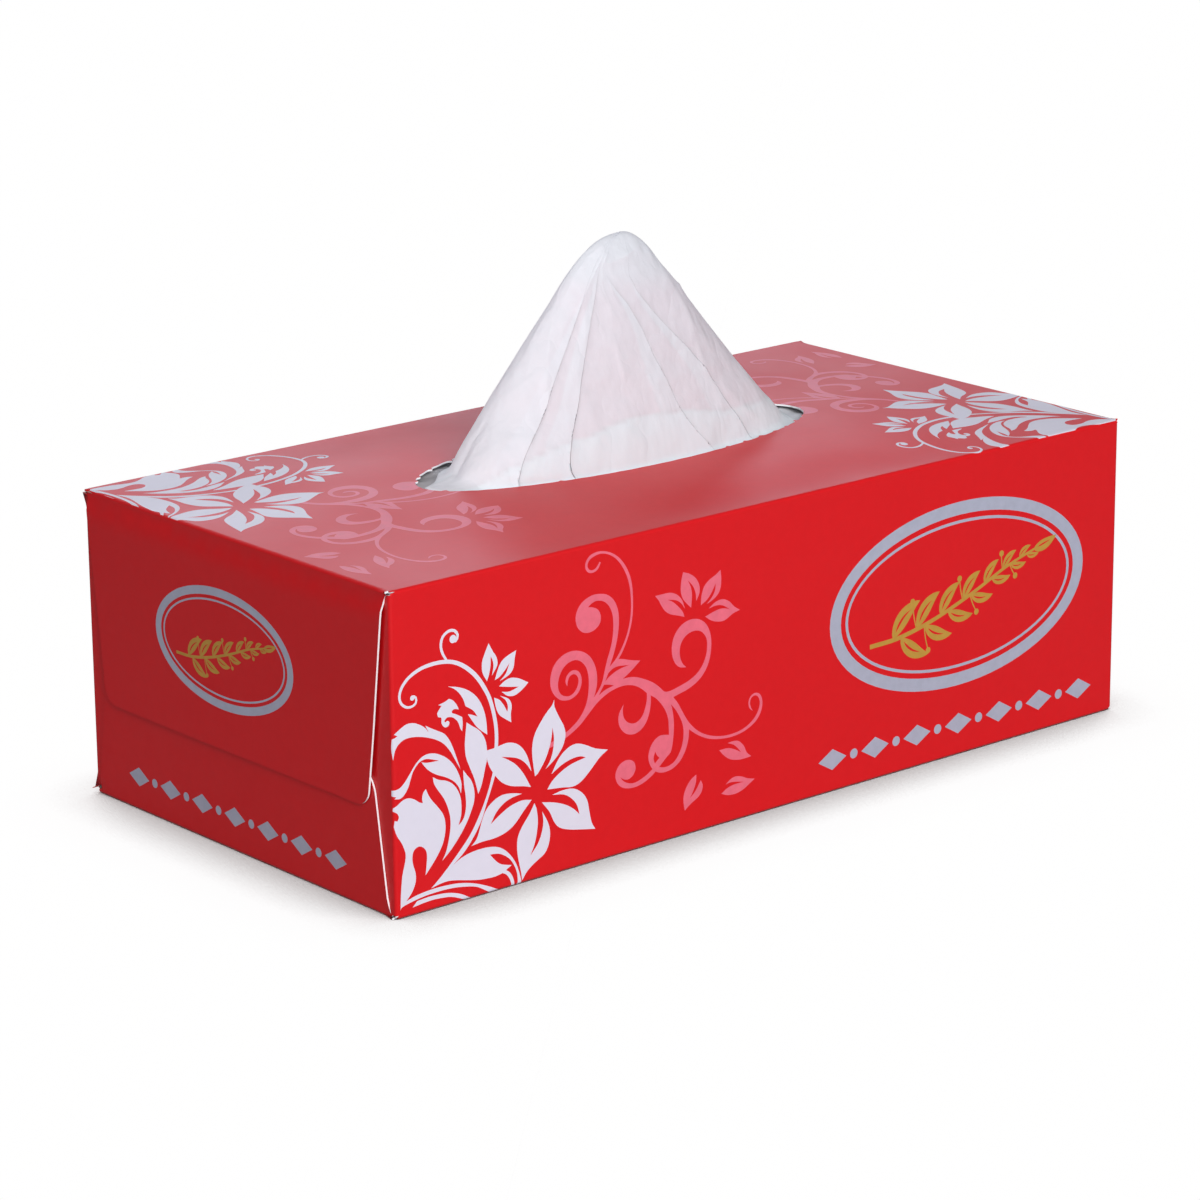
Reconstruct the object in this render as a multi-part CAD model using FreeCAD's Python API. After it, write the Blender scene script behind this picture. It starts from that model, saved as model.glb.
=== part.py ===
import FreeCAD, Part
import math
import os

# Flat facial-tissue carton with one tissue pulled up through its oval opening.
#
# Frame: millimetres. X runs along the carton's length, Y across it, Z up.
# The origin is at the centre of the footprint, on the plane it stands on.
# -Y is the long front side and -X is the end with the lapped flaps seen first.
#
# carton         one folded and glued sheet of board: four panels wrapped into a
#                sleeve with a glue lap inside the rear bottom edge, and at each
#                end two dust flaps, a bottom flap and, outermost, a top flap.
#                All are folded on one line, so each flap has to step out over
#                the ones under it and the ends stand a little proud.
# tissue_stack   the folded and interleaved sheets that are left inside.
# pulled_tissue  the sheet that stands up through the opening.

# ---- driving dimensions -------------------------------------------------
LENGTH = 230.0          # between the corners, without the layers of flaps
WIDTH = 118.0
HEIGHT = 76.0
BOARD = 0.45            # board thickness
BEND = 0.90             # outer radius of every fold
LAP = 0.10              # bond line between two lapped layers
CROWN = 2.0             # how far the filled carton lifts the middle of its top

OPEN_A = 59.5           # half length of the oval opening
OPEN_B = 20.7           # half width of the oval opening
NICK_R = 0.60           # torn perforation bridges left round the opening
NICK_ANGLES = (-71, -64, -57, -50, -43, -34, -24, 17, 62, 118, 131, 143, 155,
               163, 196, 238)

TOP_FLAP_END = 24.8     # height of the free edge of a top flap
BOTTOM_FLAP_END = 34.0  # height of the free edge of a bottom flap
DUST_REACH = 46.0       # how far a dust flap reaches across the end
TOP_FLAP_OUT = 1.10     # how far the top flap steps out past the corner line
TOP_FLAP_STEP = 3.5     # over this height below its fold
BOTTOM_FLAP_STEP = 3.1  # the same for the bottom flap above its fold
SEAM_FLAP = 12.0        # width of the glue lap of the sleeve

STACK_L, STACK_W = 212.0, 106.0
STACK_TOP = 73.0
TISSUE_TOP = 130.4
TISSUE_PEAK_X = 2.7

# Half width, half depth and centre of the pulled tissue at each height.
TISSUE_RINGS = (
    (STACK_TOP, 49.8, 18.8, 0.0),
    (76.0, 50.6, 19.2, 0.0),
    (79.0, 50.4, 19.3, 0.1),
    (84.0, 46.2, 18.0, -0.3),
    (90.0, 40.5, 16.5, 0.0),
    (98.0, 34.3, 14.1, -0.2),
    (106.0, 27.1, 11.6, -0.2),
    (114.0, 20.1, 8.8, 0.0),
    (121.0, 14.2, 6.0, 0.1),
    (126.0, 9.2, 3.8, 0.6),
    (129.0, 5.1, 2.2, 1.4),
    (TISSUE_TOP, 1.4, 0.9, TISSUE_PEAK_X),
)

V = FreeCAD.Vector
HL, HW = LENGTH / 2, WIDTH / 2

# Outer planes of the three layers at each end, and the line they are folded on.
X_DUST_FLAP = HL
X_BOTTOM_FLAP = HL + BOARD + LAP
X_TOP_FLAP = HL + TOP_FLAP_OUT
X_FOLD = HL - BEND
Z_SEAM = BOARD + LAP


def box(x0, x1, y0, y1, z0, z1):
    return Part.makeBox(x1 - x0, y1 - y0, z1 - z0, V(x0, y0, z0))


def bend_along_x(y, z, start, x0, x1):
    """Quarter tube of board; start is the angle in the YZ plane it starts at."""
    outer = Part.makeCylinder(BEND, x1 - x0, V(x0, y, z), V(1, 0, 0), 360)
    inner = Part.makeCylinder(BEND - BOARD, x1 - x0, V(x0, y, z), V(1, 0, 0), 360)
    sy, sz = start
    keep = box(x0, x1, min(y, y + sy * 2), max(y, y + sy * 2),
               min(z, z + sz * 2), max(z, z + sz * 2))
    return outer.cut(inner).common(keep)


def bend_along_y(x, z, side, y0, y1):
    outer = Part.makeCylinder(BEND, y1 - y0, V(x, y0, z), V(0, 1, 0), 360)
    inner = Part.makeCylinder(BEND - BOARD, y1 - y0, V(x, y0, z), V(0, 1, 0), 360)
    sx, sz = side
    keep = box(min(x, x + sx * 2), max(x, x + sx * 2), y0, y1,
               min(z, z + sz * 2), max(z, z + sz * 2))
    return outer.cut(inner).common(keep)


def bend_along_z(x, y, side, z0, z1):
    outer = Part.makeCylinder(BEND, z1 - z0, V(x, y, z0), V(0, 0, 1), 360)
    inner = Part.makeCylinder(BEND - BOARD, z1 - z0, V(x, y, z0), V(0, 0, 1), 360)
    sx, sy = side
    keep = box(min(x, x + sx * 2), max(x, x + sx * 2),
               min(y, y + sy * 2), max(y, y + sy * 2), z0, z1)
    return outer.cut(inner).common(keep)


def outline(points, x, thick):
    """A plate in the YZ plane from (y, z, corner radius) points, from x inwards."""
    n = len(points)
    edges, starts, ends = [], [], []
    for i in range(n):
        p = V(0, points[i][0], points[i][1])
        a = V(0, points[i - 1][0], points[i - 1][1])
        b = V(0, points[(i + 1) % n][0], points[(i + 1) % n][1])
        r = points[i][2]
        if r <= 0:
            starts.append(p)
            ends.append((p, None))
            continue
        u, w = (a - p).normalize(), (b - p).normalize()
        half = u.getAngle(w) / 2
        reach = r / math.tan(half)
        q0, q1 = p + u * reach, p + w * reach
        mid_dir = (u + w).normalize()
        mid = p + mid_dir * (r / math.sin(half) - r)
        starts.append(q0)
        ends.append((q1, Part.Arc(q0, mid, q1).toShape()))
    for i in range(n):
        q1, arc = ends[i]
        if arc is not None:
            edges.append(arc)
        nxt = starts[(i + 1) % n]
        if (nxt - q1).Length > 1e-6:
            edges.append(Part.makeLine(q1, nxt))
    face = Part.Face(Part.Wire(Part.__sortEdges__(edges)))
    lo = min(x, x - math.copysign(thick, x))
    plate = face.extrude(V(thick, 0, 0))
    plate.translate(V(lo, 0, 0))
    return plate


def stepped_flap(points, side, z_fold, z_step, z_end, x_out):
    """A flap that leaves its fold at the corner line and slants out to the plane x_out."""
    x0 = HL
    section = [(x0, z_fold), (x_out, z_step), (x_out, z_end),
               (x_out - BOARD, z_end), (x_out - BOARD, z_step), (x0 - BOARD, z_fold)]
    face = Part.Face(Part.makePolygon(
        [V(side * x, -HW, z) for x, z in section + section[:1]]))
    sheet = face.extrude(V(0, 2 * HW, 0))
    return sheet.common(outline(points, side * (HL + 3.0), 5.0))


def crown_height(x, y):
    u, v = x / (HL - BEND), y / (HW - BEND)
    fx = max(0.0, 1 - u ** 4) ** 2
    fy = max(0.0, 1 - v ** 4) ** 2
    return CROWN * fx * fy


def top_panel():
    """Crowned top panel with its oval opening and the torn perforation nicks."""
    nx, ny = 29, 21
    rows = []
    for i in range(nx):
        x = -(HL - BEND) + 2 * (HL - BEND) * i / (nx - 1)
        rows.append([V(x, -(HW - BEND) + 2 * (HW - BEND) * j / (ny - 1), 0)
                     for j in range(ny)])
    for row in rows:
        for p in row:
            p.z = HEIGHT + crown_height(p.x, p.y)
    surface = Part.BSplineSurface()
    surface.interpolate(rows)
    panel = surface.toShape().extrude(V(0, 0, -BOARD))
    oval = Part.Face(Part.Wire(Part.Ellipse(V(0, 0, 0), OPEN_A, OPEN_B).toShape()))
    tool = oval.extrude(V(0, 0, 12))
    tool.translate(V(0, 0, HEIGHT - 6))
    for deg in NICK_ANGLES:
        a = math.radians(deg)
        peg = Part.makeCylinder(NICK_R, 14,
                                V(OPEN_A * math.cos(a), OPEN_B * math.sin(a), HEIGHT - 7))
        tool = tool.cut(peg)
    return panel.cut(tool)


def make_carton():
    zc_top = HEIGHT - BEND
    pieces = [top_panel()]
    # sleeve: front, rear and bottom panels with the long folds
    pieces.append(box(-X_FOLD, X_FOLD, -HW, -HW + BOARD, BEND, zc_top))
    pieces.append(box(-X_FOLD, X_FOLD, HW - BOARD, HW, Z_SEAM + BEND, zc_top))
    pieces.append(box(-X_FOLD, X_FOLD, -(HW - BEND), HW - BEND, 0, BOARD))
    pieces.append(box(-X_FOLD, X_FOLD, HW - BEND, HW - 0.1, 0, BOARD))
    pieces.append(bend_along_x(-(HW - BEND), zc_top, (-1, 1), -X_FOLD, X_FOLD))
    pieces.append(bend_along_x(HW - BEND, zc_top, (1, 1), -X_FOLD, X_FOLD))
    pieces.append(bend_along_x(-(HW - BEND), BEND, (-1, -1), -X_FOLD, X_FOLD))
    # rear bottom fold turns inwards as the glue lap, over the bottom panel
    pieces.append(bend_along_x(HW - BEND, Z_SEAM + BEND, (1, -1), -X_FOLD, X_FOLD))
    lap = Part.Face(Part.makePolygon([
        V(-X_FOLD, HW - BEND, Z_SEAM), V(X_FOLD, HW - BEND, Z_SEAM),
        V(X_FOLD - 5, HW - BEND - SEAM_FLAP, Z_SEAM),
        V(-X_FOLD + 5, HW - BEND - SEAM_FLAP, Z_SEAM),
        V(-X_FOLD, HW - BEND, Z_SEAM)]))
    pieces.append(lap.extrude(V(0, 0, BOARD)))
    pieces.append(box(-100, 100, HW - 11, HW - 4, BOARD, Z_SEAM))

    for s in (-1, 1):
        w0 = HW - BEND
        # top flap, outermost; its sides are flared into the fold
        shape = [
            (-w0, zc_top, 0), (-57.4, HEIGHT - 1.1, 1.0), (-51.1, TOP_FLAP_END, 4.5),
            (51.1, TOP_FLAP_END, 4.5), (57.4, HEIGHT - 1.1, 1.0), (w0, zc_top, 0)]
        pieces.append(stepped_flap(shape, s, zc_top, zc_top - TOP_FLAP_STEP,
                                   TOP_FLAP_END - 1, X_TOP_FLAP))
        pieces.append(bend_along_y(s * X_FOLD, zc_top, (s, 1), -w0, w0))
        # bottom flap, behind it
        shape = [
            (-w0, BEND, 0), (-56.9, BEND + 0.15, 1.0), (-52.0, BOTTOM_FLAP_END, 7.0),
            (52.0, BOTTOM_FLAP_END, 7.0), (56.9, BEND + 0.15, 1.0), (w0, BEND, 0)]
        pieces.append(stepped_flap(shape, s, BEND, BEND + BOTTOM_FLAP_STEP,
                                   BOTTOM_FLAP_END + 1, X_BOTTOM_FLAP))
        pieces.append(bend_along_y(s * X_FOLD, BEND, (s, -1), -w0, w0))
        # dust flaps, innermost
        for side in (-1, 1):
            low = 1.6 if side < 0 else Z_SEAM + BEND + 0.4
            high = HEIGHT - 1.5
            flap = outline([
                (side * w0, low, 0), (side * w0, high, 0), (side * 56.6, high - 0.9, 0),
                (side * 54.5, 72.8, 0), (side * (w0 - DUST_REACH), 71.2, 7.0),
                (side * (w0 - DUST_REACH), 5.2, 7.0), (side * 56.2, 3.8, 0),
                (side * 57.2, low, 0)],
                s * X_DUST_FLAP, BOARD)
            pieces.append(flap)
            pieces.append(bend_along_z(s * X_FOLD, side * w0, (s, side), low, high))
        # hot-melt beads that hold the end shut
        inner_top = X_TOP_FLAP - BOARD
        outer_dust = X_DUST_FLAP
        def bead(xa, xb_, y0, y1, z0, z1):
            lo, hi = sorted((s * xa, s * xb_))
            pieces.append(box(lo, hi, y0, y1, z0, z1))
        bead(X_BOTTOM_FLAP, inner_top, -42, 42, 27.5, 31.0)
        for side in (-1, 1):
            ya, yb = sorted((side * 20.0, side * 44.0))
            bead(outer_dust, X_BOTTOM_FLAP - BOARD, ya, yb, 12.0, 16.0)
            bead(outer_dust, inner_top, ya, yb, 50.0, 54.0)
    carton = pieces[0].multiFuse(pieces[1:])
    try:
        carton = carton.removeSplitter()
    except Exception as why:
        print("removeSplitter left out:", why)
    return carton


def make_stack():
    block = box(-STACK_L / 2, STACK_L / 2, -STACK_W / 2, STACK_W / 2,
                Z_SEAM + BOARD, STACK_TOP)
    upright = [e for e in block.Edges
               if abs(e.Vertexes[0].X - e.Vertexes[1].X) < 1e-6
               and abs(e.Vertexes[0].Y - e.Vertexes[1].Y) < 1e-6]
    block = block.makeFillet(2.0, upright)
    top = [e for e in block.Edges if e.BoundBox.ZMin > STACK_TOP - 1e-3]
    return block.makeFillet(2.5, top)


def ring_at(z):
    """Half length, half depth and centre of the pulled tissue at a height."""
    rows = TISSUE_RINGS
    for i in range(len(rows) - 1):
        if z <= rows[i + 1][0] + 1e-9:
            t = (z - rows[i][0]) / (rows[i + 1][0] - rows[i][0])
            return [rows[i][k] + t * (rows[i + 1][k] - rows[i][k]) for k in (1, 2, 3)]
    return list(rows[-1][1:])


def make_tissue():
    wires = []
    for row in TISSUE_RINGS:
        a, b, cx = ring_at(row[0])
        wires.append(Part.Wire(Part.Ellipse(V(cx, 0, row[0]), a, b).toShape()))
    return Part.makeLoft(wires, True, True)


def single(shape):
    solids = shape.Solids
    if len(solids) != 1:
        raise SystemExit("expected one solid, got %d" % len(solids))
    return solids[0]


os.makedirs("parts", exist_ok=True)
made = {
    "carton": single(make_carton()),
    "tissue_stack": single(make_stack()),
    "pulled_tissue": single(make_tissue()),
}
for name, solid in made.items():
    if not solid.isValid():
        raise SystemExit(name + " isn't valid")
    solid.exportStep("parts/%s.step" % name)
    b = solid.BoundBox
    print(name, "volume %.1f mm3" % solid.Volume, "faces", len(solid.Faces),
          "x %.2f..%.2f y %.2f..%.2f z %.2f..%.2f" % (
              b.XMin, b.XMax, b.YMin, b.YMax, b.ZMin, b.ZMax))
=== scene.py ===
import math

import bpy
import numpy as np
from mathutils import Matrix, Vector, noise
from mathutils.geometry import delaunay_2d_cdt


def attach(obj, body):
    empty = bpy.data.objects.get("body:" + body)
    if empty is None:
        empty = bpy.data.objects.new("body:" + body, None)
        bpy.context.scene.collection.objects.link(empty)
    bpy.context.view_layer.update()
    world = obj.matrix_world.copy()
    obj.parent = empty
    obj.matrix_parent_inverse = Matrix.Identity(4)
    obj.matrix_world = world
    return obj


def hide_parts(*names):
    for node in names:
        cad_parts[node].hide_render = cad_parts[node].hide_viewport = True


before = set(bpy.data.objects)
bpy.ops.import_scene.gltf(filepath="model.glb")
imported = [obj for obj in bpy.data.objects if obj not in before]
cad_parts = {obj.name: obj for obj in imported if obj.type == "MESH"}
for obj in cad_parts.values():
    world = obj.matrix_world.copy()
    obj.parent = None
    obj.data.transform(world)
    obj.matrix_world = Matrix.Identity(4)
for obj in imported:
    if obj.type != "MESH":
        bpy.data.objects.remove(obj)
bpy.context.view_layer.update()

MM = 0.001

# ---- sizes of the carton, millimetres ------------------------------------
LENGTH, WIDTH, HEIGHT = 230.0, 118.0, 76.0
BOARD, BEND, LAP, CROWN = 0.45, 0.90, 0.10, 2.0
OPEN_A, OPEN_B = 59.5, 20.7
NICKS = (-71, -64, -57, -50, -43, -34, -24, 17, 62, 118, 131, 143, 155, 163, 196, 238)
TOP_FLAP_END, BOTTOM_FLAP_END, DUST_REACH, SEAM = 24.8, 34.0, 46.0, 12.0
HL, HW = LENGTH / 2, WIDTH / 2
Z_SEAM = BOARD + LAP
X_F = HL - BEND                       # where every panel starts to bend at the ends
TOP_OUT, BOTTOM_OUT = 1.10, 0.55      # how far the lapped flaps step out
ARC = BEND * math.pi / 2
FRONT = HEIGHT - 2 * BEND
TOP = 2 * (HW - BEND)
REAR = HEIGHT - BEND - (Z_SEAM + BEND)
V_TOP = FRONT + ARC                   # developed height where the top panel starts
V_REAR = V_TOP + TOP + ARC
V_LAP = V_REAR + REAR + ARC
BOTTOM = (HW - 0.1) + (HW - BEND)
D_TOP = HEIGHT - BEND - TOP_FLAP_END  # flap lengths past their bends
D_BOT = BOTTOM_FLAP_END - BEND

RED, WHITE, PINK, SILVER, GOLD, BACK, RAW = range(7)


# ---- printed ornament, drawn from strokes, leaves and discs --------------
def smooth_path(points, step=0.6):
    """Catmull-Rom line through the points, sampled about every step."""
    p = np.array(points, float)
    p = np.vstack([2 * p[0] - p[1], p, 2 * p[-1] - p[-2]])
    out = []
    for i in range(1, len(p) - 2):
        n = max(3, int(np.linalg.norm(p[i + 1] - p[i]) / step))
        t = np.arange(n)[:, None] / n
        out.append(0.5 * (2 * p[i] + (p[i + 1] - p[i - 1]) * t
                          + (2 * p[i - 1] - 5 * p[i] + 4 * p[i + 1] - p[i + 2]) * t ** 2
                          + (3 * p[i] - p[i - 1] - 3 * p[i + 1] + p[i + 2]) * t ** 3))
    out.append(p[-2][None])
    return np.vstack(out)


def even(path, step):
    """The path again, with points spaced evenly along it."""
    d = np.r_[0, np.cumsum(np.linalg.norm(np.diff(path, axis=0), axis=1))]
    n = max(4, int(d[-1] / step))
    s = np.linspace(0, d[-1], n)
    return np.c_[np.interp(s, d, path[:, 0]), np.interp(s, d, path[:, 1])]


def stroke(points, widths, step=0.7, round_end=False):
    """Outline of a brush stroke along the points; widths are spread evenly over its length."""
    c = even(smooth_path(points), step)
    t = np.linspace(0, 1, len(c))
    w = np.interp(t, np.linspace(0, 1, len(widths)), widths) / 2
    g = np.gradient(c, axis=0)
    g /= np.linalg.norm(g, axis=1)[:, None] + 1e-12
    n = np.c_[-g[:, 1], g[:, 0]]
    left, right = c + n * w[:, None], c - n * w[:, None]
    cap = []
    if round_end:
        a0 = math.atan2(n[-1, 1], n[-1, 0])
        cap = [c[-1] + w[-1] * np.array([math.cos(a0 - k * math.pi / 6), math.sin(a0 - k * math.pi / 6)])
               for k in range(1, 6)]
    pts = list(left) + cap + list(right[::-1])
    return np.array(pts)


def disc(x, y, r, n=22):
    a = np.arange(n) * 2 * math.pi / n
    return np.c_[x + r * np.cos(a), y + r * np.sin(a)]


def oval(x, y, a, b, n=72):
    t = np.arange(n) * 2 * math.pi / n
    return np.c_[x + a * np.cos(t), y + b * np.sin(t)]


def leaf(base, tip, width, sway=0.0, fat=0.42, step=0.7, hook=0.0):
    """Pointed leaf; sway bows its middle line and fat is where it is widest."""
    b, t = np.array(base, float), np.array(tip, float)
    d = t - b
    length = np.linalg.norm(d)
    u = d / length
    n = np.array([-u[1], u[0]])
    m = max(7, int(length / step))
    s = np.linspace(0, 1, m)
    line = (b + np.outer(s, d) + np.outer(4 * s * (1 - s) * sway, n)
            + np.outer(hook * s ** 4, n))
    k = math.log(0.5) / math.log(fat)
    w = width / 2 * np.sin(np.pi * s ** k) ** 0.85
    w[-1] = w[0] = 0
    g = np.gradient(line, axis=0)
    g /= np.linalg.norm(g, axis=1)[:, None]
    q = np.c_[-g[:, 1], g[:, 0]]
    left, right = line + q * w[:, None], line - q * w[:, None]
    return np.vstack([left, right[-2:0:-1]])


def outline(points, step=0.7):
    """Closed outline through the points, smooth but for the corners, which carry a third value."""
    first = next(i for i, p in enumerate(points) if len(p) > 2)
    ring = list(points[first:]) + list(points[:first + 1])
    out, run = [], [ring[0][:2]]
    for q in ring[1:]:
        run.append(q[:2])
        if len(q) > 2:
            piece = smooth_path(run, step) if len(run) > 2 else np.array(run, float)
            out.append(piece[:-1])
            run = [q[:2]]
    return np.vstack(out)


def spray():
    """Corner spray: a white blossom with leaves, then a pink scroll with a half blossom.
    The first number runs along the long side from the corner, the second up from it."""
    pk = [
        # root, upright spiral, then the scroll that ends in a ball
        (44.0, 31.6, 1), (49, 33.3), (51, 34.3), (53, 35.7), (54.7, 37.8), (55.6, 40), (56.0, 42.5), (56.0, 45),
        (55.4, 47.3), (54.1, 49), (52.2, 49.9), (50, 49.6), (48.3, 48.4), (47.2, 46.4), (47.0, 44.4), (47.7, 42.8),
        (49, 42.0), (50.5, 41.8), (51.9, 42.5), (52.8, 43.8), (53.0, 45.2), (52.4, 46.3), (51.4, 46.7), (50.4, 46.3),
        (49.9, 45.4), (49.7, 44.2, 1), (49.2, 45.2), (49.5, 46.5), (50.5, 47.4), (51.8, 47.6), (53.2, 46.9),
        (53.9, 45.4), (53.8, 43.6), (52.9, 42.0), (51.3, 41.1), (49.6, 40.9), (47.6, 41.4), (45.8, 43), (44.8, 45.2),
        (44.9, 47.6), (46, 50), (48.2, 51.6), (50.8, 52.2), (53.4, 51.8), (55.8, 50.5), (57.5, 48.4), (58.4, 45.8),
        (58.5, 43.2), (58.1, 41.4), (57.5, 39.9, 1), (59, 41.4), (60.1, 43.2), (60.8, 45.6), (61.6, 48), (62.6, 50.4),
        (63.3, 52.9), (63.6, 55.6), (63.4, 58.4), (62.4, 60.6), (60.8, 62.0), (58.8, 62.5), (57.4, 62.2),
        (56.2, 61.5, 1), (57.6, 61.2), (59.1, 60.4), (59.9, 58.9), (59.7, 57.2), (58.4, 56.0), (56.4, 55.5),
        (54.4, 56.0), (52.9, 57.6), (52.5, 59.8), (53.3, 61.8), (54.9, 63.2), (57.2, 64.0), (59.4, 64.0),
        (61.8, 63.4), (63.8, 61.8), (65.0, 59.4), (65.3, 56.8), (65.0, 53.8), (64.3, 51.0), (63.4, 48.6),
        (62.3, 46.2, 1), (64.2, 47.7), (65.7, 49.5), (67.2, 52), (68.3, 54.8), (68.9, 57.8), (69.0, 60.8),
        (68.7, 63.8), (67.9, 66.6), (66.5, 69.2), (64.7, 71.3), (62.5, 72.7), (60.2, 73.3), (58.2, 73.0),
        (56.8, 72.3), (56.3, 71.2), (56.8, 70.2), (57.9, 69.9), (59.0, 70.4), (59.9, 71.5, 1), (60.2, 71.2, 1),
        (59.4, 69.9), (58.1, 69.3), (56.6, 69.5), (55.7, 70.6), (55.8, 72.1), (57, 73.4), (59, 73.9), (61.2, 73.7),
        (63.6, 72.8), (65.8, 71.2), (67.6, 69), (68.9, 66.3), (69.5, 63.4), (69.6, 60.2), (69.4, 57.0), (68.7, 54.1),
        (67.6, 51.4), (66.2, 49.0), (65.0, 47.5, 1), (66.4, 47.2), (68.6, 46.5), (71.5, 45.8, 1), (70.2, 44.9),
        (68.4, 43.7), (66.2, 42.5, 1), (68, 42.5), (70.2, 42.1), (72.7, 41.1), (75.2, 39.8), (77.4, 38.1),
        (78.8, 36.8), (80.6, 36.6), (83.2, 37.1), (86, 37.8), (88.5, 38.9), (90.4, 40.6), (91.6, 42.8), (92, 45),
        (91.8, 47), (90.7, 48.6), (89.2, 49.4), (87.2, 49.5), (85.3, 48.8), (84, 47.4), (83.5, 45.6), (83.7, 43.9),
        (84.4, 42.4), (85.5, 41.3, 1), (83.5, 41.7), (82.0, 43.1), (81.2, 45.2), (81.2, 47.6), (82.2, 50),
        (84.3, 51.8), (87, 52.5), (89.7, 52), (91.8, 50.4), (93, 48), (93.3, 45.2), (92.8, 42), (91.5, 39.4),
        (89.4, 37.4), (86.4, 36.0), (83.4, 35.3), (81.5, 34.9, 1), (83, 33), (84.3, 30.8), (85.4, 29), (86.7, 27.3),
        (88.3, 25.7), (90.4, 24.2), (93, 23), (96, 22.2), (99, 21.9), (102, 22.1), (104.7, 22.9), (106.9, 24.3),
        (108.2, 26.1), (108.6, 27.8), (108.1, 29.3), (107.0, 29.9), (105.9, 29.5), (105.5, 28.5), (105.7, 27.4),
        (106.4, 26.2, 1), (105.3, 27.1), (105, 28.6), (105.6, 29.9), (107, 30.5), (108.6, 29.9), (109.4, 28.2),
        (109.2, 26.0), (108.0, 24.0), (106.0, 22.6), (103.2, 21.6), (99.8, 21.2), (96, 21.5), (92.6, 22.3),
        (89.8, 23.6), (87.8, 24.9), (86.4, 26.0, 1), (86.2, 23.6), (85.4, 21.2), (83.9, 19.0), (81.8, 17.6),
        (79.4, 17.1), (77.2, 17.4), (75.4, 18.5), (74.3, 20.2), (73.9, 22.0), (74.4, 24.0), (75.7, 25.6),
        (77.6, 26.4), (80.2, 26.0, 1), (80.1, 28.0), (79.9, 30), (79.1, 32.1), (77.8, 34), (76.2, 35.7),
        (74.6, 36.8, 1), (74.6, 35), (74.2, 32.8), (73.2, 30.6), (71.6, 29.1), (69.5, 28.5), (67.3, 29.0),
        (65.6, 30.5), (64.8, 32.4), (65.0, 34.4), (66.4, 36.4, 1), (66.1, 34.8), (66.5, 33), (67.7, 31.7),
        (69.4, 31.1), (71.0, 31.5), (72.2, 32.6), (73.0, 34.4), (73.4, 36), (73.4, 37.6, 1), (71.6, 39.1),
        (69.6, 40.2), (67, 40.8), (64.4, 40.7), (61.6, 40.0), (58.6, 38.5), (56, 36.4), (53.6, 34.4), (51.4, 33.1),
        (49, 32.0), (47, 31.3), (44.0, 30.6, 1)]
    holes = [
        [(60.9, 43.0, 1), (61.9, 44.8, 1), (63.3, 45.6), (65, 45.8), (68.2, 45.4, 1), (66, 45.2), (64, 44.7), (62.2, 43.9)],
        [(59.0, 40.1, 1), (59.9, 41.4), (60.6, 42.3, 1), (62.0, 42.0), (63.5, 41.5, 1), (61.8, 41.2), (60.4, 40.8)],
        [(80.8, 33.3, 1), (82.1, 31.8), (83.4, 29.8), (84.4, 27.6), (84.7, 25.4), (84.4, 23.0), (83.5, 20.9),
         (82.1, 19.2), (80.3, 18.4), (78.4, 18.4), (76.9, 18.9, 1), (79.0, 20.7, 1), (80.2, 21.1), (81.0, 22.2),
         (81.5, 24.8), (81.7, 28), (81.4, 31)],
        [(76.0, 22.8, 1), (75.5, 21.3), (75.9, 19.9, 1), (77.3, 21.0, 1), (76.5, 21.8)]]
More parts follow.
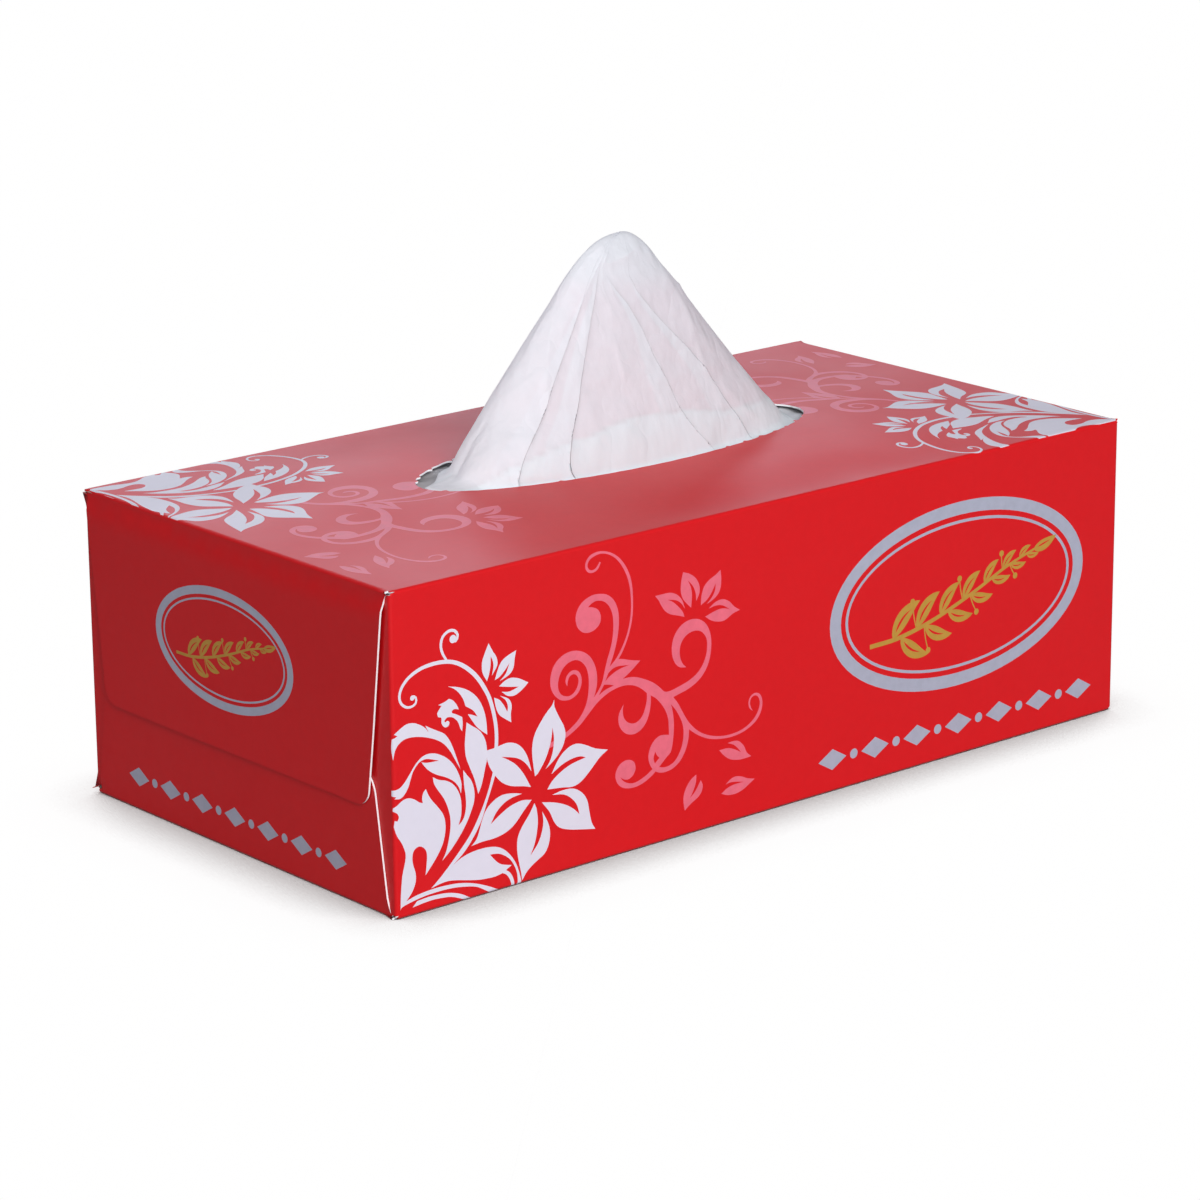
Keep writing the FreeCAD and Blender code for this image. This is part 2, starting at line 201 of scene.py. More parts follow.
    more = [
        [(76.2, 19.4, 1), (74, 18.0), (71.9, 17.1), (69.8, 16.6), (67.9, 16.9), (66.3, 17.8), (65.4, 18.9, 1),
         (66.6, 18.1), (68.0, 17.9), (69.3, 18.6), (70.0, 20.0), (69.6, 21.6), (68.3, 22.5), (66.5, 22.6),
         (64.8, 21.7), (63.9, 19.9), (64.3, 18.0), (65.6, 16.5), (67.6, 15.7), (69.8, 15.5), (72.2, 15.9),
         (74.8, 17.0), (76.9, 18.5, 1), (78.2, 19.6), (80.4, 21.4, 1), (78.6, 21.6), (77.6, 20.7)],
        [(76.3, 60.2, 1), (78.6, 60.2), (80.9, 60.1), (83.0, 59.2), (84.5, 57.6), (85.3, 55.4, 1), (84.1, 57.0),
         (82.5, 58.0), (80, 58.6, 1), (81.7, 57.7), (83.4, 56.2), (84.6, 54.8), (85.1, 53.5, 1), (83.2, 54.2),
         (81, 54.9), (79.3, 56), (78.1, 57.6), (77.3, 59)],
        [(84.9, 64.2, 1), (86.8, 63.5), (88.7, 62.1), (89.8, 60.2), (89.8, 58.3), (88.8, 56.6, 1), (88.6, 58.6),
         (87.8, 60.4), (86.3, 62.0, 1), (87.2, 60.2), (87.5, 58.2), (87.2, 55.3, 1), (85.8, 56.6), (84.6, 58.1),
         (84.1, 60), (84.3, 62.2)],
        [(96.4, 62.6, 1), (96.6, 60.6), (96.4, 58.5), (95.6, 57.0), (94.0, 55.9), (92, 55.2, 1), (93.7, 56.6),
         (94.6, 58.0), (94.9, 59.7, 1), (93.7, 57.9), (92.2, 56.3), (90.2, 55.3, 1), (90.4, 57.4), (91.3, 59.6),
         (93, 60.9), (94.9, 61.7)],
        [(102.3, 51.8, 1), (100.5, 53.0), (99, 54.5), (97, 55.4), (94.8, 55.2), (92.6, 54.0, 1), (94.9, 54.3),
         (97, 53.9), (99.1, 52.6, 1), (97, 53.2), (94.8, 53.1), (91.5, 52.3, 1), (93, 51.2), (95, 50.4),
         (97.5, 50.2), (100, 51.3)],
        [(106.1, 15.0, 1), (104.6, 16.3), (103.7, 18.1), (102.1, 19.6), (100.5, 20), (98.5, 19.9, 1), (100.4, 19.1),
         (101.8, 17.9), (102.8, 16.7, 1), (101.1, 17.7), (98.8, 18.6), (95.9, 18.7, 1), (97.4, 17.1), (99.4, 15.7),
         (102, 15), (104.2, 14.9)],
        [(88.8, 14.3, 1), (88.7, 12.4), (87.9, 10.5), (86.9, 8.9, 1), (88.6, 10.3), (90.2, 12.6, 1), (90.8, 11.3),
         (90.6, 9.9), (89.6, 8.7), (87.7, 7.7), (86.3, 6.9), (85.3, 6.1, 1), (84.9, 8), (84.9, 9.9), (85.7, 11.8),
         (87.1, 13.4)],
        [(98.1, 9.7, 1), (99.6, 10.7), (101.4, 11), (103.3, 10.5), (105, 9.7), (107.3, 9.1, 1), (105.6, 8.2),
         (103.6, 7.2), (101.2, 6.7), (98.8, 6.9), (96.7, 7.7, 1), (98.4, 8.6), (100.6, 9.1), (103.8, 9.1, 1),
         (101.6, 9.6), (99.6, 9.9)]]
    white = [
        # broad leaf in the corner, and the lines at its foot
        [(1.2, 2.0, 1), (1.4, 5.6), (1.9, 10), (2.8, 13.3), (2.9, 15.3), (1.9, 17.8), (0.7, 19.7), (0, 21.9, 1),
         (0.25, 23.3, 1), (0.9, 23.1, 1), (1.3, 24), (0.8, 25), (-0.2, 25.5, 1), (-0.1, 26.2, 1), (1.1, 26.9),
         (2.6, 27.7), (4.2, 27.8), (5.8, 27.1), (7, 26.2), (8.0, 25.8, 1), (7.8, 27.0), (8.2, 28.2), (8.9, 28.9, 1),
         (9.5, 27.5), (10.5, 25.9), (12.1, 24), (13.6, 21.9), (14.2, 19.7), (14.1, 17.4), (13.4, 15),
         (12, 12.7), (10.2, 10.6), (8.4, 8.7, 1), (8.7, 10.8), (8.9, 13.4), (8.3, 15.0), (6.8, 15.9), (5.3, 15.3),
         (4.8, 13.7), (5, 11.9), (5.6, 10), (5.6, 7.9), (4.6, 5.7), (2.9, 3.9, 1), (5.9, 4.6), (10, 4.95),
         (14, 4.9), (18, 4.5), (22, 3.5), (26, 1.9), (29.3, 0.2, 1), (29.0, -0.6, 1), (27.6, -0.4), (23.2, 2.3),
         (19, 3.4), (15, 3.9), (10, 3.95), (5.9, 3.6), (1.8, 2.8)],
        [(5.9, 3.2, 1), (10, 3.4), (14.6, 3.0), (18.2, 1.9), (21.4, 0.1, 1), (20.6, -0.6, 1), (19.2, 0.3),
         (15.7, 1.8), (11.5, 2.36), (8.7, 2.36), (4.6, 2.0, 1)],
        # sweeping leaves and upper scroll leaf on the left
        [(-0.4, 30.3, 1), (1.5, 30.6), (2.9, 31.5), (4.6, 33.4), (6.2, 35.3), (8.1, 36.6), (10.1, 36.9), (12.4, 36.3),
         (15, 34.7), (17, 32.5), (18.3, 30), (18.9, 27.8), (18.7, 25.6, 1), (18.1, 27.3), (16.8, 28.9), (14.7, 30.3),
         (12.1, 31.5), (10.2, 32.7), (9, 33.8), (7.8, 35.4, 1), (9.4, 34.9), (12.7, 34.7, 1), (9.8, 35.7), (8.3, 35.8), (7, 35.3),
         (5.6, 33.9), (4.8, 32.2), (4.1, 30.4), (3, 28.9), (1.8, 28.2), (0.25, 28.4, 1), (0.7, 28.75), (-0.4, 29, 1)],
        [(10.9, 31.2, 1), (12.6, 30.2), (14.5, 29.6), (16.3, 28.5), (17.7, 26.8), (18.6, 24.6), (18.8, 22.2),
         (18.6, 20.2), (17.9, 18.3, 1), (18.9, 19), (19.7, 20.3), (20.1, 22.3), (20.0, 24.8), (19.6, 27.6),
         (19.4, 31, 1), (20.4, 29.7), (21.8, 27.8), (22.5, 25.4), (22.4, 23), (21.5, 20.7), (20, 18), (17.9, 15.3),
         (15.7, 13), (13.2, 11.0, 1), (14.3, 12.9), (15.1, 15.5), (15.6, 18.2), (15.6, 20.6), (15.0, 23),
         (13.9, 25.5), (12.3, 27.8), (11.2, 29.6)],
        [(0.2, 37.3, 1), (-0.2, 40), (0, 42.2, 1), (1.4, 42.8, 1), (0.5, 43.3, 1), (2, 44.2), (3.9, 45), (5.8, 44.9),
         (7.6, 44.1), (9, 43.1), (10, 41.8, 1), (9.1, 43.6, 1), (10.6, 42.7), (12.6, 41.6), (14.3, 40.6), (15.6, 39),
         (16.6, 37), (17.4, 34.9), (18.7, 31.3, 1), (17.3, 33.7), (16, 36), (14.2, 38.2), (12, 39.7), (9.1, 40.9),
         (6.2, 41.6), (3.7, 41.7), (1.9, 41), (0.8, 39.8), (0.4, 38.4)],
        # stem with the leaf that lies along the foot
        [(9.9, 5.2, 1), (12.6, 7.2), (15.4, 9.6), (18.3, 12.3), (21.2, 15.3), (23.5, 18.7), (25.4, 22.2),
         (26.7, 25.2), (27.9, 28.8, 1), (28.5, 27.7, 1), (27.3, 24.7), (25.9, 21.4), (24.5, 18), (22.3, 14.7),
         (19.6, 11.7), (16.2, 9.2, 1), (18.4, 10.3), (21.2, 11), (24.6, 11.2), (27.6, 10.9), (29.9, 10.1),
         (32, 8.5), (33.9, 6.1), (35.1, 3.5), (35.8, 0.9), (36.0, -0.8, 1), (34.7, -0.8, 1), (34.8, 1.2), (34.6, 3), (33.9, 4.8),
         (32.7, 6.6), (31, 8), (29.1, 8.9), (26.8, 9.2, 1), (28.5, 7.3), (30.1, 6.1), (33.1, 5.2, 1),
         (31.4, 4.4, 1), (32.5, 3.6), (33.4, 2.2), (33.9, 0.3), (33.9, -0.8, 1), (33.1, -0.8, 1), (32.9, 0.8), (32.4, 2.1), (31.5, 3.3),
         (30.4, 3.9, 1), (28.2, 3.6), (25.9, 3.7), (23.3, 4), (20.1, 4.7), (17.2, 5.4), (14.6, 5.8), (12, 5.6)],
        # leaves and bud on either side of the upper stem
        [(15.6, 51.3, 1), (18.6, 50.5), (21.3, 49.2), (23.6, 47.2), (25.2, 44.6), (26.1, 41.5), (26.4, 37.8, 1),
         (24.8, 39.0), (23.4, 40.3), (22.3, 41.8), (21, 43.7, 1), (22.3, 43.3), (23.7, 42.6, 1), (22.5, 44.3),
         (20.4, 45.7, 1), (19.8, 47.4), (18.7, 49.1), (17.3, 50.4)],
        [(20.6, 41.9, 1), (22.2, 40.7), (23.9, 39.5), (25.2, 37.9), (26, 36), (26.3, 33.6, 1), (26.1, 31.5, 1),
         (25.7, 30.3), (25.1, 28), (24.4, 25.9), (23.6, 24.4, 1), (22.9, 27.1), (22.2, 29.1), (21.1, 31.6),
         (20.2, 34.1), (20, 37), (20.3, 39.7)],
        [(12.7, 44.8, 1), (12.5, 45.8), (13.7, 47.2, 1), (12.8, 47.6, 1), (14.5, 47.9), (15.8, 48.4, 1), (16.9, 47.8),
         (17.9, 46.6), (18.5, 45.4, 1), (17.3, 45.7), (16.5, 45.4, 1), (16.6, 44.9, 1), (17.9, 44.3), (19.4, 43.4, 1),
         (19.5, 41.8), (19.3, 40.1, 1), (18.8, 40.9), (18.2, 42.5), (16.9, 43.8), (15.3, 44.2), (14.4, 43.6, 1),
         (14.6, 43.2), (15.3, 43.4), (15.8, 42.9), (15.4, 42.1), (14.4, 42.1), (13.6, 43.1), (13.6, 44.4)]]
    stems = [stroke([(28.75, 33.0), (29, 36), (28.9, 39), (28.4, 42), (27.4, 45.6), (26, 48.5), (23.6, 52),
                     (20.4, 54.9), (17.2, 56.6), (14, 57.25), (11.1, 57.3), (8.1, 56.9), (5.1, 55.7), (3.1, 54.0),
                     (2.2, 52.1), (2.4, 50.4), (3.6, 49.1), (5.2, 48.7), (6.5, 49.2), (6.8, 50.3), (6.1, 51.0)],
                    [1.0, 1.0, 1.0, 1.05, 1.05, 0.95, 0.9, 0.85, 0.75, 0.6, 0.55], round_end=True),
             disc(5.7, 50.7, 0.6, 14),
             stroke([(15.8, 56.8), (14.5, 58.8), (13.9, 60.7), (14.2, 62.5), (15.3, 63.6), (16.9, 64.0), (18.2, 63.4),
                     (18.7, 62.2), (18.0, 61.3)], [0.5, 0.7, 0.7, 0.7, 0.7], round_end=True),
             disc(17.3, 61.9, 0.95, 16)]
    blossom = [
        [(28.6, 34.2, 1), (30.4, 34.5), (32.3, 34.6), (34.6, 33.9), (36.6, 32.2), (38, 29.7), (39.0, 26.3, 1),
         (37.3, 28.6), (34.8, 30.4), (30.3, 31.7, 1), (32.5, 30.4), (34.5, 28.9), (36.6, 26.4), (38.8, 22.6, 1), (36.6, 23.3),
         (33.2, 24.1), (30.4, 25.6), (28.4, 27.8), (27.0, 29.9), (26.2, 31.9, 1), (26.2, 34.1, 1)],
        [(40.0, 24.9, 1), (39.5, 27.9), (39.2, 30.8), (39.5, 33.5), (40.6, 35.9), (43.2, 39), (45.1, 40.6),
         (45.8, 41.9, 1), (45.9, 40.1), (47.3, 37.3), (48.6, 34.9), (49, 32.6), (48.1, 30.1), (46.0, 27.8),
         (43.1, 25.9, 1), (44.6, 27.9), (45.4, 30.4), (45.6, 32.9), (45.2, 35.4, 1), (44.9, 33), (44.2, 30.7),
         (42.9, 28.0), (40.8, 25.3, 1)],
        [(44.8, 24.3, 1), (47.1, 27.7), (49.6, 29.5), (52.1, 30), (54.7, 29.2), (57.9, 27.6), (61.6, 26.5, 1),
         (59.1, 25.1), (56.2, 22.5), (53.5, 20.5), (51.0, 19.9), (47.9, 20.4), (43.6, 20.9, 1), (45, 22.6),
         (47.5, 24.2), (50.6, 25.4), (55.0, 26.1, 1), (53.4, 26.7), (51.2, 26.7), (48.2, 26)],
        [(45.0, 19.3, 1), (48.2, 19.7), (51.3, 19.4), (53.8, 17.9), (55.4, 15.7), (56.1, 12.7), (56.8, 9.9),
         (57.9, 8.1, 1), (54.3, 8.8), (50.3, 9.7), (47.2, 10.9), (45.5, 12.8), (44.3, 15.3), (42.0, 18.2, 1),
         (45.4, 17.4), (48.6, 16.2), (51.2, 14.6), (53.1, 12.8, 1), (52.4, 15.1), (50.9, 17.0), (48.5, 18.6)],
        [(39.8, 18.5, 1), (38.3, 16.2), (36.1, 13.6), (34.9, 11.3), (34.7, 8.5), (35.2, 5.4), (35.8, 2.8),
         (36.1, 0.8, 1), (37.8, 2.8), (40.4, 4.4), (42.8, 5.7), (44.0, 7.7), (44.4, 10.3), (43.8, 12.9),
         (42.1, 16.0, 1), (42.4, 13.4), (41.9, 10.8), (40.7, 8.4), (38.6, 6.2, 1), (39.8, 8.6), (40.5, 11.3),
         (40.8, 14.4), (40.4, 17.2, 1)],
        [(39.0, 19.5, 1), (36.1, 20), (32.7, 19.4), (29.7, 18.0), (27.1, 16.4, 1), (28.6, 18.7), (30.7, 20.4),
         (33.2, 21.3), (36.2, 21.6, 1), (33.6, 22.3), (30.5, 22.6), (27.8, 21.7), (25.8, 20.1), (24.6, 17.8),
         (23.7, 15.3), (22.9, 13.7), (21.5, 12.5, 1), (24.6, 12.8), (28.2, 12.8), (31.7, 13.5), (34.3, 15.0),
         (36.6, 17.3)],
        [(26.6, 50.2, 1), (25.4, 52.4), (25.3, 54.8), (26.2, 56.9), (27.3, 58.9, 1), (28.4, 56.9), (29.5, 55.1),
         (29.6, 53.3), (28.0, 51.2, 1), (28.5, 53.1), (28.4, 54.5), (27.8, 55.8, 1), (27.7, 53.6), (27.2, 51.6, 1)],
        [(28.8, 50.0, 1), (29.7, 52.2), (30.8, 53.9), (32.5, 54.9), (35.1, 55.7, 1), (34.6, 53.8), (34.2, 51.8),
         (32.9, 50.4), (30.2, 49.5, 1), (32, 50.9), (33.1, 53.1, 1), (31.7, 51.7), (30.2, 50.5)],
        [(30.0, 48.3, 1), (31.5, 49.2), (33.4, 49.6), (35.7, 49), (38.4, 47.5, 1), (36.6, 46.2), (34.5, 45.3),
         (32.4, 45.6), (30.7, 46.9, 1), (33, 46.5), (35.6, 47.1, 1), (33.4, 47.5), (31.6, 47.9)],
        [(28.5, 46.0, 1), (29, 43.5), (29.9, 41.7), (31.5, 40.4), (33.3, 39.2, 1), (33.2, 41.2), (33.5, 43.2),
         (32.6, 44.9), (30.1, 46.1, 1), (31.7, 44.8), (32.4, 43.2), (32.2, 41.9, 1), (31.4, 43.4), (30.1, 45.1)]]
    s = [(PINK, outline(pk, 1.0))] + [(RED, outline(p)) for p in holes] + [(PINK, outline(p, 0.9)) for p in more]
    s += [(WHITE, outline(p, 0.9)) for p in white] + [(WHITE, p) for p in stems]
    return s + [(WHITE, outline(p, 0.9)) for p in blossom]


def medallion(cx, cy, k):
    """Plain oval frame with a gold sprig in it."""
    s = []
    s.append((SILVER, oval(cx, cy, 41.0 * k, 22.0 * k)))
    s.append((RED, oval(cx, cy, 37.6 * k, 18.9 * k)))
    s.append((SILVER, oval(cx, cy, 36.2 * k, 17.6 * k)))
    s.append((RED, oval(cx, cy, 35.4 * k, 16.9 * k)))
    # sprig: a bowed stem with paired leaves, each slit along its middle, and berries between
    P = lambda x, y: (cx + x * k, cy + y * k)
    stem = [P(-28.5, -7.0), P(-19, -6.6), P(-8, -4.4), P(4, -0.6), P(15, 3.6), P(24.5, 6.2)]
    s.append((GOLD, stroke(stem, [1.1 * k, 1.05 * k, 0.95 * k, 0.8 * k, 0.55 * k])))
    path = even(smooth_path(stem), 0.2)
    n = len(path)
    for i, f in enumerate((0.13, 0.27, 0.41, 0.55, 0.68, 0.80, 0.90)):
        for side in (1, -1):
            j = int((f + (0.045 if side < 0 else 0)) * (n - 1))
            q = path[j]
            g = path[min(n - 1, j + 3)] - path[max(0, j - 3)]
            a = math.atan2(g[1], g[0]) + side * math.radians(52 - 3.5 * i)
            size = (11.6 - 1.15 * i) * k * (0.92 if side < 0 else 1)
            u = np.array([math.cos(a), math.sin(a)])
            w = np.array([-u[1], u[0]]) * side
            tip = q + u * size - w * 0.16 * size
            s.append((GOLD, leaf(q + u * 0.3 * k, tip, 0.34 * size, sway=side * 0.07 * size, fat=0.44,
                                 hook=-side * 0.08 * size, step=0.8)))
            s.append((RED, leaf(q + u * 0.16 * size, q + (tip - q) * 0.74, 0.055 * size,
                                sway=side * 0.06 * size, fat=0.40, step=1.0)))
            if i in (1, 3, 5):
                b = q + u * 0.50 * size + w * 0.44 * size
                s.append((GOLD, stroke([q, q + (b - q) * 0.5 + w * 0.03 * size, b], [0.35 * k, 0.3 * k])))
                s.append((GOLD, disc(b[0], b[1], 0.75 * k, 12)))
    s.append((GOLD, leaf(path[-3], path[-3] + np.array([7.6, 2.2]) * k, 2.7 * k, sway=-0.4 * k, fat=0.42)))
    s.append((RED, leaf(path[-1] + np.array([1.0, 0.25]) * k, path[-3] + np.array([5.6, 1.4]) * k, 0.42 * k, fat=0.4, step=1.0)))
    return s


def rule_of_lozenges(x0, x1, y, h):
    s = []
    n = 13
    for i in range(n):
        x = x0 + (x1 - x0) * (i + 0.5) / n
        if i % 2 == 0:
            s.append((SILVER, np.array([(x - h * 0.62, y), (x, y - h * 0.36), (x + h * 0.62, y), (x, y + h * 0.36)])))
        else:
            s.append((SILVER, disc(x, y, h * 0.17, 14)))
    return s


# ---- the developed blank and how it folds --------------------------------
def region_of(u, v):
    """Which panel, bend or flap of the blank each developed point lies in."""
    a = np.abs(u)
    r = np.full(np.shape(u), 2)
    r[v < -ARC] = 0
    r[(v >= -ARC) & (v < 0)] = 1
    r[(v > FRONT) & (v < V_TOP)] = 3
    r[(v >= V_TOP) & (v <= V_TOP + TOP)] = 4
    r[(v > V_TOP + TOP) & (v < V_REAR)] = 5
    r[(v >= V_REAR) & (v <= V_REAR + REAR)] = 6
    r[(v > V_REAR + REAR) & (v < V_LAP)] = 7
    r[v >= V_LAP] = 8
    for panel, edge, bend in ((4, X_F, 10), (0, X_F, 12), (2, X_F, 14), (6, X_F, 16)):
        here = r == panel
        r[here & (a > edge)] = bend
        r[here & (a > edge + ARC)] = bend + 1
    return r


def crown(x, y):
    fx = np.clip(1 - (x / (HL - BEND)) ** 4, 0, 1) ** 2
    fy = np.clip(1 - (y / (HW - BEND)) ** 4, 0, 1) ** 2
    return CROWN * fx * fy


def ramp(t):
    t = np.clip(t, 0, 1)
    return t * t * (3 - 2 * t)


def section(v, r):
    """y, z across the sleeve at developed height v."""
    y, z = np.zeros_like(v), np.zeros_like(v)
    c, R = HW - BEND, BEND

    def put(which, fy, fz):
        m = np.isin(r, which)
        y[m], z[m] = fy(v[m]), fz(v[m])
    put((0, 12, 13), lambda v: -c + (-ARC - v), lambda v: 0 * v)
    put((1,), lambda v: -c - R * np.cos(-v / R), lambda v: R - R * np.sin(-v / R))
    put((2, 14, 15), lambda v: 0 * v - HW, lambda v: R + v)
    put((3,), lambda v: -c - R * np.cos((v - FRONT) / R), lambda v: HEIGHT - R + R * np.sin((v - FRONT) / R))
    put((4, 10, 11), lambda v: -c + (v - V_TOP), lambda v: 0 * v + HEIGHT)
    put((5,), lambda v: c + R * np.sin((v - V_TOP - TOP) / R),
        lambda v: HEIGHT - R + R * np.cos((v - V_TOP - TOP) / R))
    put((6, 16, 17), lambda v: 0 * v + HW, lambda v: HEIGHT - R - (v - V_REAR))
    put((7,), lambda v: c + R * np.cos((v - V_REAR - REAR) / R),
        lambda v: Z_SEAM + R - R * np.sin((v - V_REAR - REAR) / R))
    put((8,), lambda v: c - (v - V_LAP), lambda v: 0 * v + Z_SEAM)
    return y, z


def fold_up(u, v, r):
    """Developed points to the folded carton's outer face, in millimetres."""
    s = np.sign(u)
    a = np.abs(u)
    y, z = section(v, r)
    x = u.copy()
    R = BEND
    # top flap
    t = a - X_F
    m = r == 10
    x[m], z[m] = s[m] * (X_F + R * np.sin(t[m] / R)), HEIGHT - R + R * np.cos(t[m] / R)
    m = r == 11
    x[m], z[m] = s[m] * HL, HEIGHT - R - (t[m] - ARC)
    # bottom flap
    m = r == 12
    x[m], z[m] = s[m] * (X_F + R * np.sin(t[m] / R)), R - R * np.cos(t[m] / R)
    m = r == 13
    x[m], z[m] = s[m] * HL, R + (t[m] - ARC)
    # dust flaps, front and rear
    for bend, side in ((14, -1), (16, 1)):
        m = r == bend
        x[m] = s[m] * (X_F + R * np.sin(t[m] / R))
        y[m] = side * (HW - R + R * np.cos(t[m] / R))
        m = r == bend + 1
        x[m], y[m] = s[m] * (X_F + R), side * (HW - R - (t[m] - ARC))
    # the board's own give: a filled top, slightly full sides, flaps standing off
    m = np.isin(r, (4,))
    z[m] += crown(x[m], y[m])
    m = np.isin(r, (2, 6))
    full = 0.45 * np.sin(np.pi * np.clip((z[m] - BEND) / (HEIGHT - 2 * BEND), 0, 1)) ** 1.5 \
        * (1 - np.abs(x[m] / X_F) ** 5)
    y[m] += np.sign(y[m]) * full
    m = r == 11
    down = HEIGHT - BEND - z[m]
    x[m] += s[m] * (TOP_OUT * ramp(down / 4.5) + 0.22 * ramp((down - 30) / 20.0)
                    + (0.10 + 0.12 * np.sin(y[m] / 19.0 + 0.6)) * ramp((down - 6) / 30.0))
    m = r == 13
    x[m] += s[m] * BOTTOM_OUT * ramp((z[m] - BEND) / 3.6)
    return np.c_[x, y, z]


def fold_with_normals(u, v, r):
    e = 0.02
    p = fold_up(u, v, r)
    du = fold_up(u + e, v, r) - fold_up(u - e, v, r)
    dv = fold_up(u, v + e, r) - fold_up(u, v - e, r)
    n = np.cross(du, dv)
    n /= np.linalg.norm(n, axis=1)[:, None] + 1e-12
    return p, n


def rounded(points):
    """A closed outline from (a, b, corner radius) points, its corners turned to arcs."""
    out = []
    n = len(points)
    for i in range(n):
        p = np.array(points[i][:2], float)
        r = points[i][2]
        if r <= 0:
            out.append(p)
            continue
        a, b = np.array(points[i - 1][:2], float), np.array(points[(i + 1) % n][:2], float)
        u, w = (a - p) / np.linalg.norm(a - p), (b - p) / np.linalg.norm(b - p)
        half = math.acos(max(-1, min(1, float(u @ w)))) / 2
        mid = (u + w) / np.linalg.norm(u + w)
        c = p + mid * r / math.sin(half)
        q0, q1 = p + u * r / math.tan(half), p + w * r / math.tan(half)
        a0, a1 = math.atan2(*(q0 - c)[::-1]), math.atan2(*(q1 - c)[::-1])
        d = (a1 - a0 + math.pi) % (2 * math.pi) - math.pi
        k = max(3, int(abs(d) * r / 0.5))
        out += [c + r * np.array([math.cos(a0 + d * j / k), math.sin(a0 + d * j / k)]) for j in range(k + 1)]
    return np.array(out)


def spaced(points, step, closed=True):
    """The line again with no two points further apart than step."""
    p = list(points) + ([points[0]] if closed else [])
    out = []
    for a, b in zip(p[:-1], p[1:]):
        n = max(1, int(math.ceil(np.linalg.norm(np.array(b) - a) / step)))
        out += [np.array(a) + (np.array(b) - a) * k / n for k in range(n)]
    if not closed:
        out.append(np.array(p[-1]))
    return np.array(out)


def v_top(y):
    return V_TOP + (y + HW - BEND)


def v_bottom(y):
    return -ARC - (y + HW - BEND)


def blank_outline():
    """Right half of the blank's edge from low to high v, then its mirror image."""
    w0, e = HW - BEND, X_F + ARC
    foot = e + BOTTOM_FLAP_END - BEND
    tab = X_F + 0.55
    top, low = V_TOP + TOP, V_REAR + REAR

    def half(torn):
        lip = X_F + (0.85 if torn else 0.5)
        p = [(X_F, -ARC - BOTTOM, 0), (X_F, v_bottom(w0), 0), (e, v_bottom(w0), 0),
             (e + 0.15, v_bottom(56.9), 1.0), (foot, v_bottom(52.0), 7.0), (foot, v_bottom(-52.0), 7.0),
             (e + 0.15, v_bottom(-56.9), 1.0), (e, -ARC, 0), (lip, -ARC, 0), (lip, 0, 0),
             (e, 0, 0), (e + 0.9, 0, 0), (e + 1.9, 2.9, 0), (e + DUST_REACH, 4.3, 7.0),
             (e + DUST_REACH, 70.3, 7.0), (e + 3.6, 71.9, 0), (e + 1.5, 72.7, 0)]
        if torn:
            # here the slit between two flaps runs a little way into the corner
            cut = FRONT + ARC * 0.45
            p += [(e, FRONT, 0), (tab, FRONT, 0), (tab, cut - 0.16, 0), (X_F - 0.3, cut - 0.14, 0),
                  (X_F - 0.8, cut, 0), (X_F - 0.3, cut + 0.14, 0), (tab, cut + 0.16, 0), (tab, V_TOP, 0), (e, V_TOP, 0)]
        else:
            p += [(e, FRONT, 0), (tab, FRONT, 0), (tab, V_TOP, 0), (e, V_TOP, 0)]
        p += [(e + 0.2, v_top(-57.4), 1.0), (e + D_TOP, v_top(-51.1), 4.5),
              (e + D_TOP, v_top(51.1), 4.5), (e + 0.2, v_top(57.4), 1.0), (e, v_top(w0), 0),
              (tab, top, 0), (tab, V_REAR, 0), (e, V_REAR, 0), (e + 1.5, V_REAR + 1.2, 0), (e + 3.6, V_REAR + 2.3, 0),
              (e + DUST_REACH, V_REAR + 3.9, 7.0), (e + DUST_REACH, V_REAR + 69.9, 7.0),
              (e + 1.9, V_REAR + 71.3, 0), (e + 0.9, low, 0), (e, low, 0),
              (tab, low, 0), (tab, V_LAP, 0), (X_F, V_LAP, 0), (X_F - 5, V_LAP + SEAM, 0)]
        return p
    right = half(False)
    left = [(-p[0], p[1], p[2]) for p in half(True)[::-1]]
    return spaced(rounded(right + left), 1.5)


def opening_outline():
    """The oval tear line, with the little bridges of board left by its perforation."""
    rng = np.random.RandomState(7)
    n = 620
    t = np.arange(n) * 2 * math.pi / n
    inward = 0.05 * np.sin(61 * t) + 0.04 * np.sin(37 * t + 1)
    for deg in NICKS:
        a = math.radians(deg)
        s = ((t - a + math.pi) % (2 * math.pi) - math.pi) \
            * math.hypot(OPEN_A * math.sin(a), OPEN_B * math.cos(a))
        wide, tall = rng.uniform(0.45, 0.8), rng.uniform(0.45, 0.85)
        inward += tall * np.exp(-np.abs(s / wide) ** 3)
    ex, ey = np.cos(t) / OPEN_A, np.sin(t) / OPEN_B
    k = np.hypot(ex, ey)
    x = OPEN_A * np.cos(t) - inward * ex / k
    y = OPEN_B * np.sin(t) - inward * ey / k
    return np.c_[x, v_top(y)]


